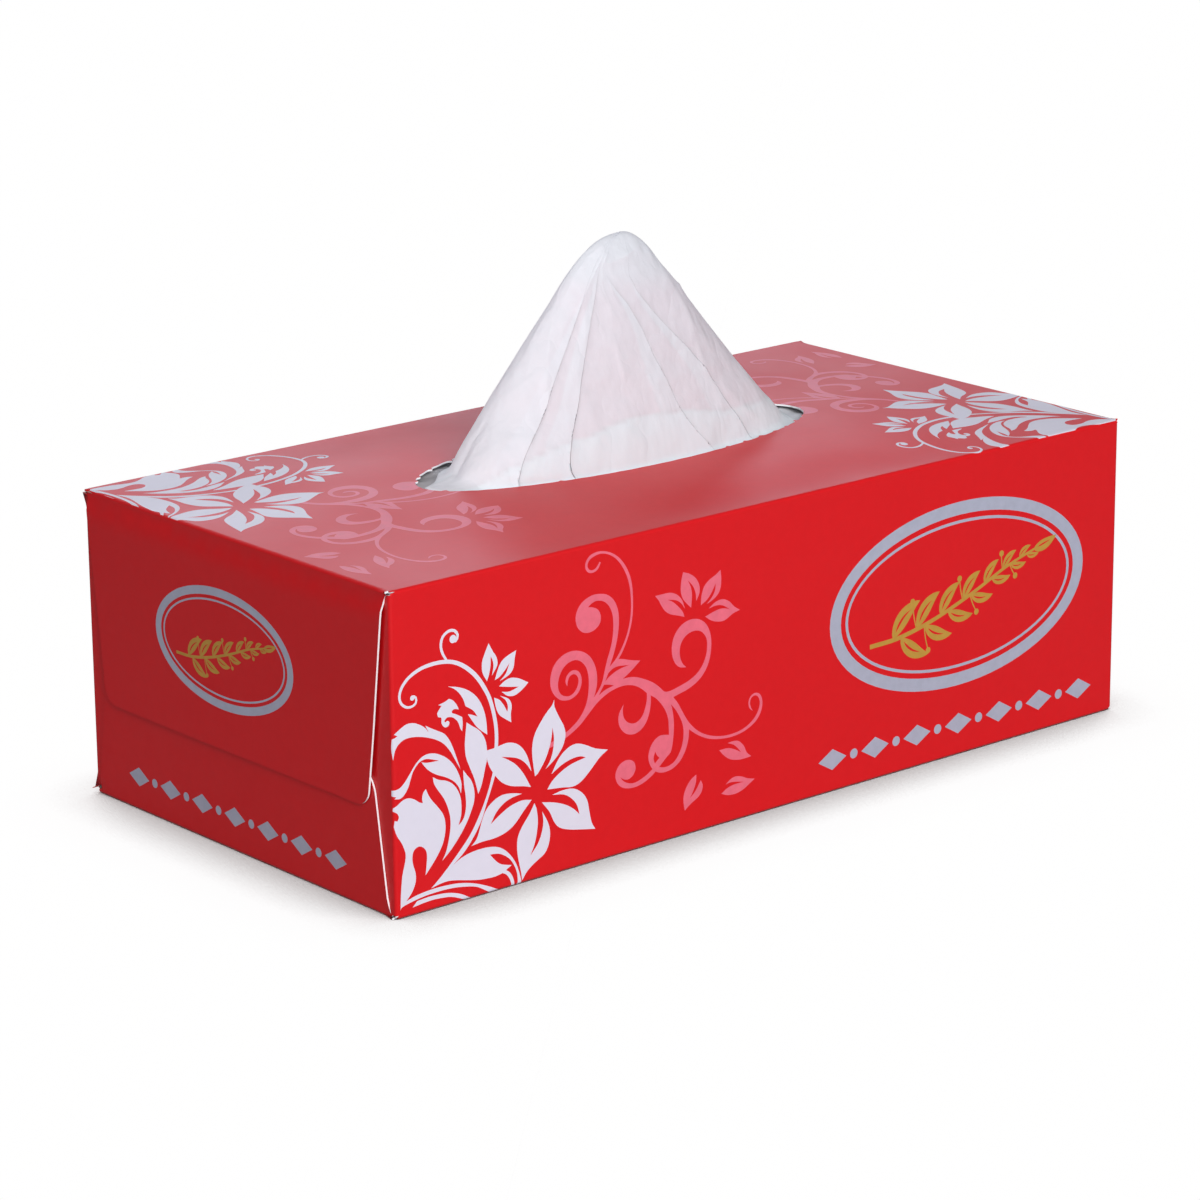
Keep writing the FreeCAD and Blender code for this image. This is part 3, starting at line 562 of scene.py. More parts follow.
def inside(points, poly):
    """Non-zero winding test of many points against one closed outline."""
    out = np.zeros(len(points), bool)
    lo, hi = poly.min(0), poly.max(0)
    near = np.where((points[:, 0] >= lo[0]) & (points[:, 0] <= hi[0])
                    & (points[:, 1] >= lo[1]) & (points[:, 1] <= hi[1]))[0]
    if not len(near):
        return out
    a, b = poly, np.roll(poly, -1, axis=0)
    for part in np.array_split(near, max(1, len(near) * len(poly) // 4000000 + 1)):
        p = points[part]
        cross = ((b[:, 0] - a[:, 0])[None] * (p[:, 1][:, None] - a[:, 1][None])
                 - (p[:, 0][:, None] - a[:, 0][None]) * (b[:, 1] - a[:, 1])[None])
        up = (a[:, 1][None] <= p[:, 1][:, None]) & (b[:, 1][None] > p[:, 1][:, None])
        down = (a[:, 1][None] > p[:, 1][:, None]) & (b[:, 1][None] <= p[:, 1][:, None])
        wind = (up & (cross > 0)).sum(1) - (down & (cross < 0)).sum(1)
        out[part] = wind != 0
    return out


def triangulate(loops, lines, dots):
    """Constrained triangles over the blank; loops are closed outlines and lines open ones."""
    verts, edges = [], []
    for loop in loops:
        k = len(verts)
        verts += [Vector(p) for p in loop]
        edges += [(k + i, k + (i + 1) % len(loop)) for i in range(len(loop))]
    for line in lines:
        k = len(verts)
        verts += [Vector(p) for p in line]
        edges += [(k + i, k + i + 1) for i in range(len(line) - 1)]
    verts += [Vector(p) for p in dots]
    got = delaunay_2d_cdt(verts, edges, [], 0, 1e-4, False)
    return np.array([tuple(p) for p in got[0]]), np.array([tuple(f) for f in got[2]])


def fold_rows():
    """Lines along every bend, close enough together to turn it smoothly."""
    rows = []
    for k in range(5):
        f = ARC * k / 4
        for v in (-ARC + f, FRONT + f, V_TOP + TOP + f, V_REAR + REAR + f):
            rows.append(spaced(np.array([(-X_F, v), (X_F, v)]), 4.0, False))
        for s in (-1, 1):
            rows.append(spaced(np.array([(s * (X_F + f), V_TOP), (s * (X_F + f), V_TOP + TOP)]), 4.0, False))
            rows.append(spaced(np.array([(s * (X_F + f), v_bottom(HW - BEND)), (s * (X_F + f), -ARC)]), 4.0, False))
            rows.append(spaced(np.array([(s * (X_F + f), 0), (s * (X_F + f), FRONT - (1.6 if s < 0 else 0))]), 4.0, False))
            rows.append(spaced(np.array([(s * (X_F + f), V_REAR), (s * (X_F + f), V_REAR + REAR)]), 4.0, False))
    return rows


def grid_dots(step_top, step_side):
    """Points spread over panels and flaps so that they can bow."""
    dots = []
    for u0, u1, v0, v1, step in (
            (-X_F, X_F, V_TOP, V_TOP + TOP, step_top),
            (-X_F, X_F, 0, FRONT, step_side), (-X_F, X_F, V_REAR, V_REAR + REAR, step_side),
            (-X_F, X_F, v_bottom(HW - BEND), -ARC, 14.0),
            (X_F + ARC, X_F + ARC + D_TOP, V_TOP, V_TOP + TOP, 3.6),
            (-X_F - ARC - D_TOP, -X_F - ARC, V_TOP, V_TOP + TOP, 3.6),
            (X_F + ARC, X_F + ARC + D_BOT, v_bottom(HW - BEND), -ARC, 4.2),
            (-X_F - ARC - D_BOT, -X_F - ARC, v_bottom(HW - BEND), -ARC, 4.2)):
        nu, nv = int((u1 - u0) / step), int((v1 - v0) / step)
        for i in range(1, nu):
            for j in range(1, nv):
                dots.append((u0 + (u1 - u0) * (i + 0.17 * (j % 2)) / nu, v0 + (v1 - v0) * j / nv))
    return dots


def placed_art():
    """Every printed shape as (colour, region it may cover, outline on the blank)."""
    art = []

    def put(shapes, where, panels):
        for colour, p in shapes:
            art.append((colour, panels, where(np.asarray(p, float))))
    group = spray()
    # front, and the same turned half a turn for the rear
    front = lambda p: np.c_[p[:, 0] - HL, p[:, 1] - BEND]
    rear = lambda p: np.c_[HL - p[:, 0], V_REAR + HEIGHT - BEND - p[:, 1]]
    shapes = group + medallion(174.5, 41.5, 1.06) + rule_of_lozenges(129, 221, 8.2, 7.4)
    put(shapes, front, (1, 2, 14))
    put(shapes, rear, (6, 7, 16))
    # top: from the rear left corner, and half a turn round from the front right one
    left = lambda p: np.c_[0.967 * p[:, 1] - 3.0 - HL, v_top(HW - (0.967 * p[:, 0] + 0.6))]
    right = lambda p: np.c_[HL + 2.6 - p[:, 1], v_top(-HW + (p[:, 0] - 1.6))]
    put(group, left, (3, 4, 5, 10))
    put(group, right, (3, 4, 5, 10))
    # ends: e runs from the left edge as seen from outside
    shapes = medallion(56.5, 49.0, 0.655)
    lower = rule_of_lozenges(16, 100, 8.8, 6.6)
    for s in (-1, 1):
        flap = lambda p, s=s: np.c_[s * (X_F + ARC + HEIGHT - BEND - p[:, 1]), v_top(s * (p[:, 0] - HW))]
        foot = lambda p, s=s: np.c_[s * (X_F + ARC + p[:, 1] - BEND), v_bottom(s * (p[:, 0] - HW))]
        put(shapes, flap, (11,))
        put(lower, foot, (13,))
    # the bared lip of board at the near bottom corner
    bare = np.array([(-X_F - 0.95, -ARC - 0.1), (-X_F - 0.22, -ARC - 0.1), (-X_F - 0.22, 0.05), (-X_F - 0.95, 0.05)])
    art.append((RAW, (1,), bare))
    return art


def build_carton():
    edge = blank_outline()
    hole = opening_outline()
    art = placed_art()
    outer_v, outer_f = triangulate([edge, hole] + [a[2] for a in art], fold_rows(), grid_dots(3.5, 9.0))
    inner_v, inner_f = triangulate([edge, hole], fold_rows(), grid_dots(5.0, 14.0))

    def kept(v, f):
        c = v[f].mean(1)
        area = np.abs(np.cross(v[f[:, 1]] - v[f[:, 0]], v[f[:, 2]] - v[f[:, 0]]))
        ok = inside(c, edge) & ~inside(c, hole) & (area > 1e-7)
        f, c = f[ok], c[ok]
        turn = np.cross(v[f[:, 1]] - v[f[:, 0]], v[f[:, 2]] - v[f[:, 0]]) < 0
        f[turn] = f[turn][:, ::-1]
        return f, c
    outer_f, centre = kept(outer_v, outer_f)
    inner_f, _ = kept(inner_v, inner_f)
    used, outer_f = np.unique(outer_f, return_inverse=True)
    outer_v, outer_f = outer_v[used], outer_f.reshape(-1, 3)
    used, inner_f = np.unique(inner_f, return_inverse=True)
    inner_v, inner_f = inner_v[used], inner_f.reshape(-1, 3)

    colour = np.full(len(outer_f), RED)
    where = region_of(centre[:, 0], centre[:, 1])
    # the top's print ends half way round the folds
    where[(where == 3) & (centre[:, 1] < FRONT + 0.55 * ARC)] = 30
    where[(where == 5) & (centre[:, 1] > V_TOP + TOP + 0.5 * ARC)] = 31
    where[(where == 10) & (np.abs(centre[:, 0]) > X_F + 0.5 * ARC)] = 32
    for c, panels, poly in art:
        hit = inside(centre, poly) & np.isin(where, panels)
        colour[hit] = c

    def shaped(v):
        p, n = fold_with_normals(v[:, 0], v[:, 1], region_of(v[:, 0], v[:, 1]))
        return p, n
    po, no = shaped(outer_v)
    pi, ni = shaped(inner_v)
    pi = pi - ni * BOARD

    # raw edge: a strip between the two faces, along the outline and the opening
    def border(v, f):
        e = np.vstack([f[:, [0, 1]], f[:, [1, 2]], f[:, [2, 0]]])
        key = np.sort(e, axis=1)
        _, index, count = np.unique(key, axis=0, return_index=True, return_counts=True)
        return e[index[count == 1]]
    bo = border(outer_v, outer_f)
    rim, faces_ok = [], 0
    from mathutils.kdtree import KDTree
    tree = KDTree(len(inner_v))
    for i, p in enumerate(inner_v):
        tree.insert((p[0], p[1], 0), i)
    tree.balance()
    mate = {}
    for a in set(bo.ravel().tolist()):
        _, j, d = tree.find((outer_v[a][0], outer_v[a][1], 0))
        mate[a] = j if d < 2e-3 else None
    extra = []
    n_out = len(outer_v)
    base = n_out + len(inner_v)
    for a in mate:
        if mate[a] is None:
            extra.append(po[a] - no[a] * BOARD)
            mate[a] = base + len(extra) - 1 - n_out
    for a, b in bo:
        ma, mb = n_out + mate[a], n_out + mate[b]
        rim.append((b, a, ma, mb) if ma != mb else (b, a, ma))
    verts = np.vstack([po, pi] + ([np.array(extra)] if extra else []))
    faces = [tuple(f) for f in outer_f] + [tuple(f + n_out) for f in inner_f[:, ::-1]] + rim
    me = bpy.data.meshes.new("carton_board")
    me.from_pydata((verts * MM).tolist(), [], [tuple(int(i) for i in f) for f in faces])
    # raw edges are pale, except in the closed corners, where the print's colour hides them
    at = outer_v[bo].mean(1)
    shut = (np.abs(at[:, 0]) > X_F - 0.4) & (np.abs(at[:, 0]) < X_F + ARC + 1.2)
    shut &= (at[:, 1] > V_TOP + TOP - 0.3) | (at[:, 1] < -60) | ((at[:, 0] > 0) & (at[:, 1] > FRONT - 0.3))
    slot = np.concatenate([colour, np.full(len(inner_f), BACK), np.where(shut, RED, RAW)]).astype(np.int32)
    me.polygons.foreach_set("material_index", slot)
    me.polygons.foreach_set("use_smooth", np.ones(len(faces), bool))
    # normals straight from the shape, so that no sliver of print shows
    me.update()
    print("carton mesh repaired:", me.validate())
    lo = np.zeros(len(me.loops), np.int32)
    me.loops.foreach_get("vertex_index", lo)
    count = len(me.polygons)
    total, flat = np.zeros(count, np.int32), np.zeros(count * 3, np.float32)
    me.polygons.foreach_get("loop_total", total)
    me.polygons.foreach_get("normal", flat)
    owner = np.repeat(np.arange(count), total)
    low, high = np.full(count, 1 << 30), np.zeros(count, int)
    np.minimum.at(low, owner, lo)
    np.maximum.at(high, owner, lo)
    norms = flat.reshape(-1, 3).astype(float)[owner]
    face_out, face_in = (high < n_out)[owner], (low >= n_out)[owner]
    norms[face_out] = no[lo[face_out]]
    norms[face_in] = -ni[lo[face_in] - n_out]
    norms = np.nan_to_num(norms)
    me.normals_split_custom_set(norms.tolist())
    me.update()
    ob = bpy.data.objects.new("carton_board", me)
    bpy.context.scene.collection.objects.link(ob)
    print("carton", len(outer_f), "outer", len(inner_f), "inner", len(rim), "rim", len(extra), "unmatched")
    return ob


# ---- the pulled tissue ----------------------------------------------------
# A 200 mm square sheet, held up by its middle: its excess round the tent is taken up by
# lapped pleats, and what is left of it lies ruffled on the stack under the top panel.
TIP_Z, RIM_Z, FLOOR_Z = 130.4, 77.55, 73.35
TIP_X = 2.7
TENT_Z = (130.4, 130.0, 129.0, 126.0, 121.0, 114.0, 106.0, 98.0, 90.0, 84.0, 79.0)
TENT_LEFT = (0.0, 3.9, 7.3, 12.0, 17.4, 23.1, 30.0, 36.9, 43.4, 48.3, 51.9)
TENT_RIGHT = (0.0, 2.0, 3.9, 7.4, 11.5, 17.5, 24.3, 31.2, 38.0, 43.3, 48.2)
TENT_DEEP = (0.0, 1.4, 2.6, 4.6, 6.6, 9.2, 11.9, 14.3, 16.7, 18.3, 19.4)
# Outline of the sheet where it fills the opening, anticlockwise from the right end.
BASE = ((55.4, 3.4), (52.6, 6.6), (47.0, 9.8), (38.0, 12.6), (25.0, 15.2), (6.0, 17.0), (-14.0, 16.4),
        (-30.0, 14.2), (-40.5, 12.0), (-46.0, 9.9), (-48.6, 8.0), (-50.8, 5.6), (-53.6, 2.9), (-56.8, 1.2),
        (-58.7, 0.2), (-58.6, -2.4), (-56.4, -5.9), (-50.0, -10.9), (-38.0, -15.7), (-20.0, -19.3),
        (4.0, -20.4), (26.0, -18.4), (40.0, -15.0), (47.0, -12.3), (50.6, -9.6), (52.4, -5.6), (53.6, -1.6))
# Lapped pleats: (x, z) of the folded edge on the front, or its angle on the rear; width of the
# lap at the rim; +1 where the layer on the left of the edge is the outer one, -1 for the right.
PLEATS = (
    (38.0, 120.0, 8.6, 1), (74.0, 124.0, 8.6, -1), (106.0, 122.0, 9.0, 1), (146.0, 119.0, 8.4, -1),
    (((-13.7, 117.2), (-21.0, 106.4), (-27.9, 96.1), (-33.0, 87.0), (-35.6, 82.0), (-36.6, 77.4)), 118.5, 8.2, 1),
    (((-7.9, 123.6), (-10.0, 119.3), (-13.1, 112.9), (-17.5, 103.6), (-21.0, 95.5), (-24.4, 86.1),
      (-25.6, 80.1), (-24.6, 77.4)), 126.0, 8.0, 1),
    (((-6.8, 123.8), (-2.7, 114.8), (-1.3, 111.6), (2.1, 101.1), (4.1, 95.8), (7.2, 87.8), (14.8, 78.2)), 124.0, 8.0, 1),
    (((-0.4, 121.2), (0.9, 117.4), (5.3, 111.2), (13.5, 101.8), (19.1, 94.5), (22.6, 88.4), (28.5, 77.6)), 122.0, 8.6, 1),
)
# Creases without a lap: (x, z) points, height, half width.
RIDGES = (
    (((-20.0, 114.5), (-23.1, 109.2), (-27.5, 99.7), (-29.4, 92.0)), 0.34, 1.8),
    (((-5.2, 128.3), (-9.0, 126.0), (-13.1, 122.2), (-18.0, 116.5)), 0.30, 1.4),
    (((-5.2, 127.2), (-9.0, 123.0), (-12.4, 118.9), (-15.8, 114.2)), 0.26, 1.2),
    (((11.0, 120.4), (13.5, 115.0), (15.3, 110.1), (16.7, 101.8), (18.3, 94.7)), 0.42, 2.4),
    (((-6.8, 123.9), (-1.0, 125.4), (5.3, 127.7)), 0.26, 1.3),
    (((-4.2, 127.2), (-6.2, 125.0), (-7.6, 123.4)), 0.25, 0.9),
    (((-8.6, 108.0), (-8.9, 103.5), (-8.2, 98.0)), 0.22, 1.3),
    (((-1.0, 98.4), (-0.6, 95.4), (0.9, 92.6)), 0.26, 1.2),
    (((21.0, 116.0), (17.5, 115.2), (14.6, 115.0)), 0.22, 1.2),
    (((34.0, 94.6), (37.0, 90.0), (39.5, 85.5)), 0.18, 1.4),
    (((24.0, 92.0), (27.5, 86.5), (33.0, 82.0)), 0.24, 1.3),
    (((-46.0, 81.6), (-41.0, 80.2), (-36.5, 79.6)), 0.20, 0.8),
    (((44.0, 84.0), (43.6, 81.0), (43.0, 79.0)), 0.18, 0.8),
)
# Upper edge of the second layer that shows through the lower front.
BAND = ((-60.0, 76.8), (-50.9, 78.1), (-42.5, 82.0), (-35.6, 84.0), (-25.6, 86.6), (-22.9, 86.3), (-14.5, 88.6),
        (-7.4, 89.5), (7.4, 88.7), (20.4, 86.3), (42.6, 84.6), (60.0, 82.0))


def hermite(xk, yk, x):
    """Smooth curve through the points."""
    xk, yk = np.array(xk, float), np.array(yk, float)
    m = np.gradient(yk, xk)
    i = np.clip(np.searchsorted(xk, x) - 1, 0, len(xk) - 2)
    h = xk[i + 1] - xk[i]
    t = np.clip((x - xk[i]) / h, 0, 1)
    return ((2 * t ** 3 - 3 * t ** 2 + 1) * yk[i] + (t ** 3 - 2 * t ** 2 + t) * h * m[i]
            + (3 * t ** 2 - 2 * t ** 3) * yk[i + 1] + (t ** 3 - t ** 2) * h * m[i + 1])


def tent_size(z):
    """Reach to the left, to the right and in depth at height z."""
    q = np.sqrt(np.maximum(TIP_Z - np.asarray(z, float), 0))
    qk = np.sqrt(np.maximum(TIP_Z - np.array(TENT_Z), 0))
    return [hermite(qk, t, q) for t in (TENT_LEFT, TENT_RIGHT, TENT_DEEP)]


def base_curve():
    """The base outline, and its rim limit, as functions of the tent's angle."""
    p = smooth_path(list(BASE) + [BASE[0]], 0.8)
    al, ar, b = tent_size(79.0)
    a = np.where(p[:, 0] < TIP_X, al, ar)
    t = np.unwrap(np.arctan2(p[:, 1] / b, (p[:, 0] - TIP_X) / a))
    o = np.argsort(t[:-1] % (2 * math.pi))
    tt, pp = (t[:-1] % (2 * math.pi))[o], p[:-1][o]
    tt = np.r_[tt[-1] - 2 * math.pi, tt, tt[0] + 2 * math.pi]
    pp = np.vstack([pp[-1], pp, pp[0]])
    return lambda th: (np.interp(th % (2 * math.pi), tt, pp[:, 0]), np.interp(th % (2 * math.pi), tt, pp[:, 1]))


def tent_point(th, z, base):
    """Smooth tent without its pleats, for angles th at height z above the rim."""
    al, ar, b = tent_size(np.maximum(z, 79.0))
    a = np.where(np.cos(th) < 0, al, ar)
    x, y = TIP_X + a * np.cos(th), b * np.sin(th)
    bx, by = base(th)
    if z < 94.0:
        # towards its foot the tent fills the corners of the opening, most of all the front left one
        full = np.clip(np.sin(2 * th), 0, 1) * (np.sin(th) < 0) + 0.35 * np.clip(-np.sin(2 * th), 0, 1) * (np.sin(th) < 0)
        k = 0.88 * min(1.0, (94.0 - z) / 15.0) ** 1.5 * full
        x, y = x + (bx - x) * k, y + (by - y) * k
    if z < 79.0:
        k = min(1.0, (79.0 - z) / (79.0 - RIM_Z))
        k = 1 - math.sqrt(max(0.0, 1 - k ** 1.5)) if k < 1 else 1.0
        k = 0.25 * ((79.0 - z) / (79.0 - RIM_Z)) + 0.75 * k
        x, y = x + (bx - x) * k, y + (by - y) * k
    return x, y


def pleat_angle(where, z):
    """Angle of a folded edge on the tent at height z."""
    if not isinstance(where, tuple):
        return math.radians(where) + 0 * z
    p = np.array(sorted(where, key=lambda q: q[1]), float)
    al, ar, _ = tent_size(np.maximum(p[:, 1], 79.0))
    c = np.clip((p[:, 0] - TIP_X) / np.where(p[:, 0] < TIP_X, al, ar), -0.995, 0.995)
    th = 2 * math.pi - np.arccos(c)
    return hermite(p[:, 1], th, np.clip(z, p[0, 1], p[-1, 1]))


def speed(th, z):
    """Millimetres along the ring for each radian."""
    al, ar, b = tent_size(np.maximum(z, 79.0))
    a = np.where(np.cos(th) < 0, al, ar)
    return np.hypot(a * np.sin(th), b * np.cos(th)) + 0.02


def columns():
    """Columns of the sheet all the way round: for each, its panel or strip and how far along it is."""
    edges = [float(pleat_angle(p[0], np.array(80.0))) for p in PLEATS]
    n = len(edges)
    cols = []
    total = 2 * math.pi
    for k in range(n):
        nxt = edges[(k + 1) % n] + (total if k == n - 1 else 0)
        arc = np.linspace(edges[k], nxt, 60)
        length = float(np.sum(speed(arc, np.array(80.0)))) * (nxt - edges[k]) / 60
        m = max(12, int(length / 0.60))
        near = 0.12 / max(length, 1.0)          # a column close to each folded edge keeps it crisp
        cols += [(k, 0, 0.0), (k, 0, near)] + [(k, 0, j / m) for j in range(1, m)] + [(k, 0, 1 - near)]
        cols += [(k, 1, j / 12) for j in range(12)]
    return cols


def ring_row(cols, z, lap):
    """Angle and layer depth of every column at height z. Panel k runs from edge k to edge k+1."""
    n = len(PLEATS)
    e = np.array([float(pleat_angle(p[0], np.array(z))) for p in PLEATS])
    w = np.array([p[2] * max(0.004, (p[1] - max(z, RIM_Z)) / (p[1] - RIM_Z)) for p in PLEATS]) * lap
    gap = 0.07 + 0.10 * np.clip(w / 5.0, 0, 1)
    kind = np.array([p[3] for p in PLEATS])
    sp = np.array([float(speed(a, np.array(z))) for a in e])
    th, depth = np.empty(len(cols)), np.empty(len(cols))
    for i, (k, strip, t) in enumerate(cols):
        k2 = (k + 1) % n
        turn = 2 * math.pi if k2 == 0 else 0.0
        wk, wk2 = w[k] / sp[k], w[k2] / sp[k2]
        start = e[k] - wk if kind[k] > 0 else e[k]
        end = e[k2] + turn + (0 if kind[k2] > 0 else wk2)
        if not strip:
            a = start + (end - start) * t
            d = 0.0
            if kind[k] > 0:
                reach = max(0.4, min(10.0, 0.7 * (e[k2] + turn - e[k]) * sp[k]))
                d -= gap[k] * (1 - ramp((a - e[k]) * sp[k] / reach))
            if kind[k2] < 0:
                reach = max(0.4, min(10.0, 0.7 * (e[k2] + turn - e[k]) * sp[k2]))
                d -= gap[k2] * (1 - ramp((e[k2] + turn - a) * sp[k2] / reach))
        else:
            nstart = e[k2] + turn - (wk2 if kind[k2] > 0 else 0)
            a = end + (nstart - end) * t
            f = ramp(t * 3.2) * 0.5 + ramp((t - 0.69) * 3.2) * 0.5
            d = -gap[k2] * (f if kind[k2] > 0 else 1 - f)
        th[i], depth[i] = a, d
    return th, depth


def sculpt(x, y, z, th):
    """Ridges, soft waves and small crumples, the same for every layer at one place."""
    d = np.zeros(len(x))
    front = y < 0.5
    for pts, height, wide in RIDGES:
        p = np.array(sorted(pts, key=lambda q: q[1]), float)
        if p[-1, 1] - p[0, 1] > 0.6 * abs(p[-1, 0] - p[0, 0]):
            at = np.interp(z, p[:, 1], p[:, 0])
            lo, hi = p[0, 1], p[-1, 1]
            t = (x - at) * 0.9
            ends = ramp((z - lo + 1.6) / 4.0) * ramp((hi + 1.6 - z) / 4.0)
        else:
            q = np.array(sorted(pts), float)
            at = np.interp(x, q[:, 0], q[:, 1])
            t = z - at
            ends = ramp((x - q[0, 0] + 1.0) / 3.0) * ramp((q[-1, 0] + 1.0 - x) / 3.0)
        d += 1.7 * height * np.exp(-np.abs(t) / wide) * ends * front
    edge = np.interp(x, [q[0] for q in BAND], [q[1] for q in BAND])
    d += 0.10 * ramp((edge - z) / 0.8) * front * ramp((z - 77.8) / 1.5)
    # the two flanks are drawn tight, the front is crumpled
    flank = np.zeros(len(x))
    for at in (162.0, 342.0):
        turn = (np.degrees(th) - at + 180.0) % 360.0 - 180.0
        flank = np.maximum(flank, np.exp(-(turn / 24.0) ** 2))
    loose = 1 - 0.8 * flank
    for i in range(len(x)):
        p = (x[i], y[i], z)
        d[i] += (0.46 * noise.noise(Vector((p[0] / 17.0, p[1] / 14.0, p[2] / 26.0 + 3.1)))
                 + 0.13 * noise.noise(Vector((p[0] / 6.5 + 9, p[1] / 6.5, p[2] / 9.0)))
                 - (0.56 if front[i] else 0.3) * abs(noise.noise(Vector((p[0] / 9.0 + 2, p[1] / 8.0 + 7, p[2] / 17.0))))
                 - 0.28 * abs(noise.noise(Vector((p[0] / 4.0, p[1] / 4.0 + 4, p[2] / 6.0))))) * loose[i]
    return d * ramp((TIP_Z + 0.4 - z) / 5.0) * ramp((z - 77.0) / 3.0 + 0.12)


def build_tissue():
    base = base_curve()
    cols = columns()
    m = len(cols)
    rim = opening_outline()
    rim_xy = np.c_[rim[:, 0], rim[:, 1] - V_TOP - HW + BEND]
    rim_angle = np.unwrap(np.arctan2(rim_xy[:, 1], rim_xy[:, 0]))
    rim_r = np.hypot(rim_xy[:, 0], rim_xy[:, 1])

    def keep_in(x, y, clear):
        """Pull points in from the edge of the opening."""
        a = np.arctan2(y, x) % (2 * math.pi)
        lim = np.interp(a, rim_angle, rim_r, period=2 * math.pi) - clear
        k = np.minimum(1, lim / np.maximum(np.hypot(x, y), 1e-6))
        return x * k, y * k
    # ---- what shows
    zs = list(TIP_Z - (np.linspace(0.12, math.sqrt(TIP_Z - 79.0), 108)) ** 2)
    zs += [79.0 - (79.0 - RIM_Z) * f for f in (0.2, 0.4, 0.58, 0.72, 0.83, 0.91, 0.96, 1.0)]
    rows, where = [], []
    for z in zs:
        th, depth = ring_row(cols, z, 1.0)
        x, y = tent_point(th, z, base)
        e = 1e-3
        x1, y1 = tent_point(th + e, z, base)
        x0, y0 = tent_point(th, min(z + 0.05, TIP_Z), base)
        along = np.c_[x1 - x, y1 - y, np.zeros(m)]
        up = np.c_[x0 - x, y0 - y, np.full(m, 0.05)]
        nrm = np.cross(along, up)
        nrm /= np.linalg.norm(nrm, axis=1)[:, None] + 1e-12
        d = depth + sculpt(x, y, z, th)
        p = np.c_[x, y, np.full(m, z)] + nrm * d[:, None]
        if z < 80.5:
            p[:, 0], p[:, 1] = keep_in(p[:, 0], p[:, 1], 0.22)
        rows.append(p)
        where.append(depth)
    grid = np.array(rows)
    # ---- down through the opening and out over the stack
    bx, by = grid[-1][:, 0], grid[-1][:, 1]
    cum = np.r_[0, np.cumsum(np.hypot(np.diff(np.r_[bx, bx[0]]), np.diff(np.r_[by, by[0]])))]
    alpha = cum[:-1] / cum[-1] * 2 * math.pi
    full = 100.0 / np.maximum(np.abs(np.cos(alpha)), np.abs(np.sin(alpha)))
    step = np.sqrt((np.diff(grid, axis=0) ** 2).sum(2)).sum(0)
    th_rim, _ = ring_row(cols, RIM_Z, 1.0)
    sx, sy = tent_point(th_rim, RIM_Z, base)
    flat_r = np.hypot(sx / 1.35, sy)
    u = np.c_[sx / (1.35 ** 2) * 0.8, sy]
    u /= np.linalg.norm(u, axis=1)[:, None]
    throat = [(77.25, 0.1), (76.95, 0.2), (76.7, 0.1)]
    hidden = []
    lean = u
    for z, inset in throat:
        lap = 1.0 - 0.1 * (77.5 - z) / 7
        th, depth = ring_row(cols, RIM_Z, lap)
        x, y = tent_point(th, RIM_Z, base)
        n2 = np.c_[x / (1.35 ** 2) * 0.8, y]
        n2 /= np.linalg.norm(n2, axis=1)[:, None]
        x, y = keep_in(x, y, 0.25)
        hidden.append(np.c_[x - n2[:, 0] * (inset - depth), y - n2[:, 1] * (inset - depth), np.full(m, z)])
    rest = np.maximum(full - step - 8.0, 6.0)
    n_hid = 34
    for i in range(1, n_hid + 1):
        f = i / n_hid
        lap = 0.9 * (1 - 0.8 * f)
        th, depth = ring_row(cols, RIM_Z, lap)
        x, y = tent_point(th, RIM_Z, base)
        n2 = np.c_[x / (1.35 ** 2) * 0.8, y]
        n2 /= np.linalg.norm(n2, axis=1)[:, None]
        x, y = keep_in(x, y, 0.25)
        s = rest * f
        room = np.minimum((106.0 - np.abs(x)) / np.maximum(np.abs(n2[:, 0]), 1e-3),
                          (50.0 - np.abs(y)) / np.maximum(np.abs(n2[:, 1]), 1e-3))
        out = np.where(s < room, s, np.maximum(room - (s - room), 2.0))
        back = ramp((s - room) / 3.0 + 0.5)
        grow = ramp((s - 5.0) / 14.0)
        px, py = x + n2[:, 0] * out, y + n2[:, 1] * out
        tall = 0.85 - 0.45 * ramp((np.maximum(np.abs(px) / 104.0, np.abs(py) / 50.0) - 0.6) / 0.3)
        wave = tall * (0.8 * np.sin(th * 58 + 0.7) + 0.2 * np.sin(th * 33 + 2.0)) * grow
        drop = ramp((s - 4.0) / 13.0)
        z = 76.55 * (1 - drop) + (FLOOR_Z + 0.12 + tall + 0.95 * back) * drop + wave * drop \
            - 0.25 * (1 - drop) * ramp(s / 4.0) * (1 + np.sin(th * 19 + 1.0))
        hidden.append(np.c_[px, py, z + 0.3 * depth])
    grid = np.concatenate([grid, np.array(hidden)])
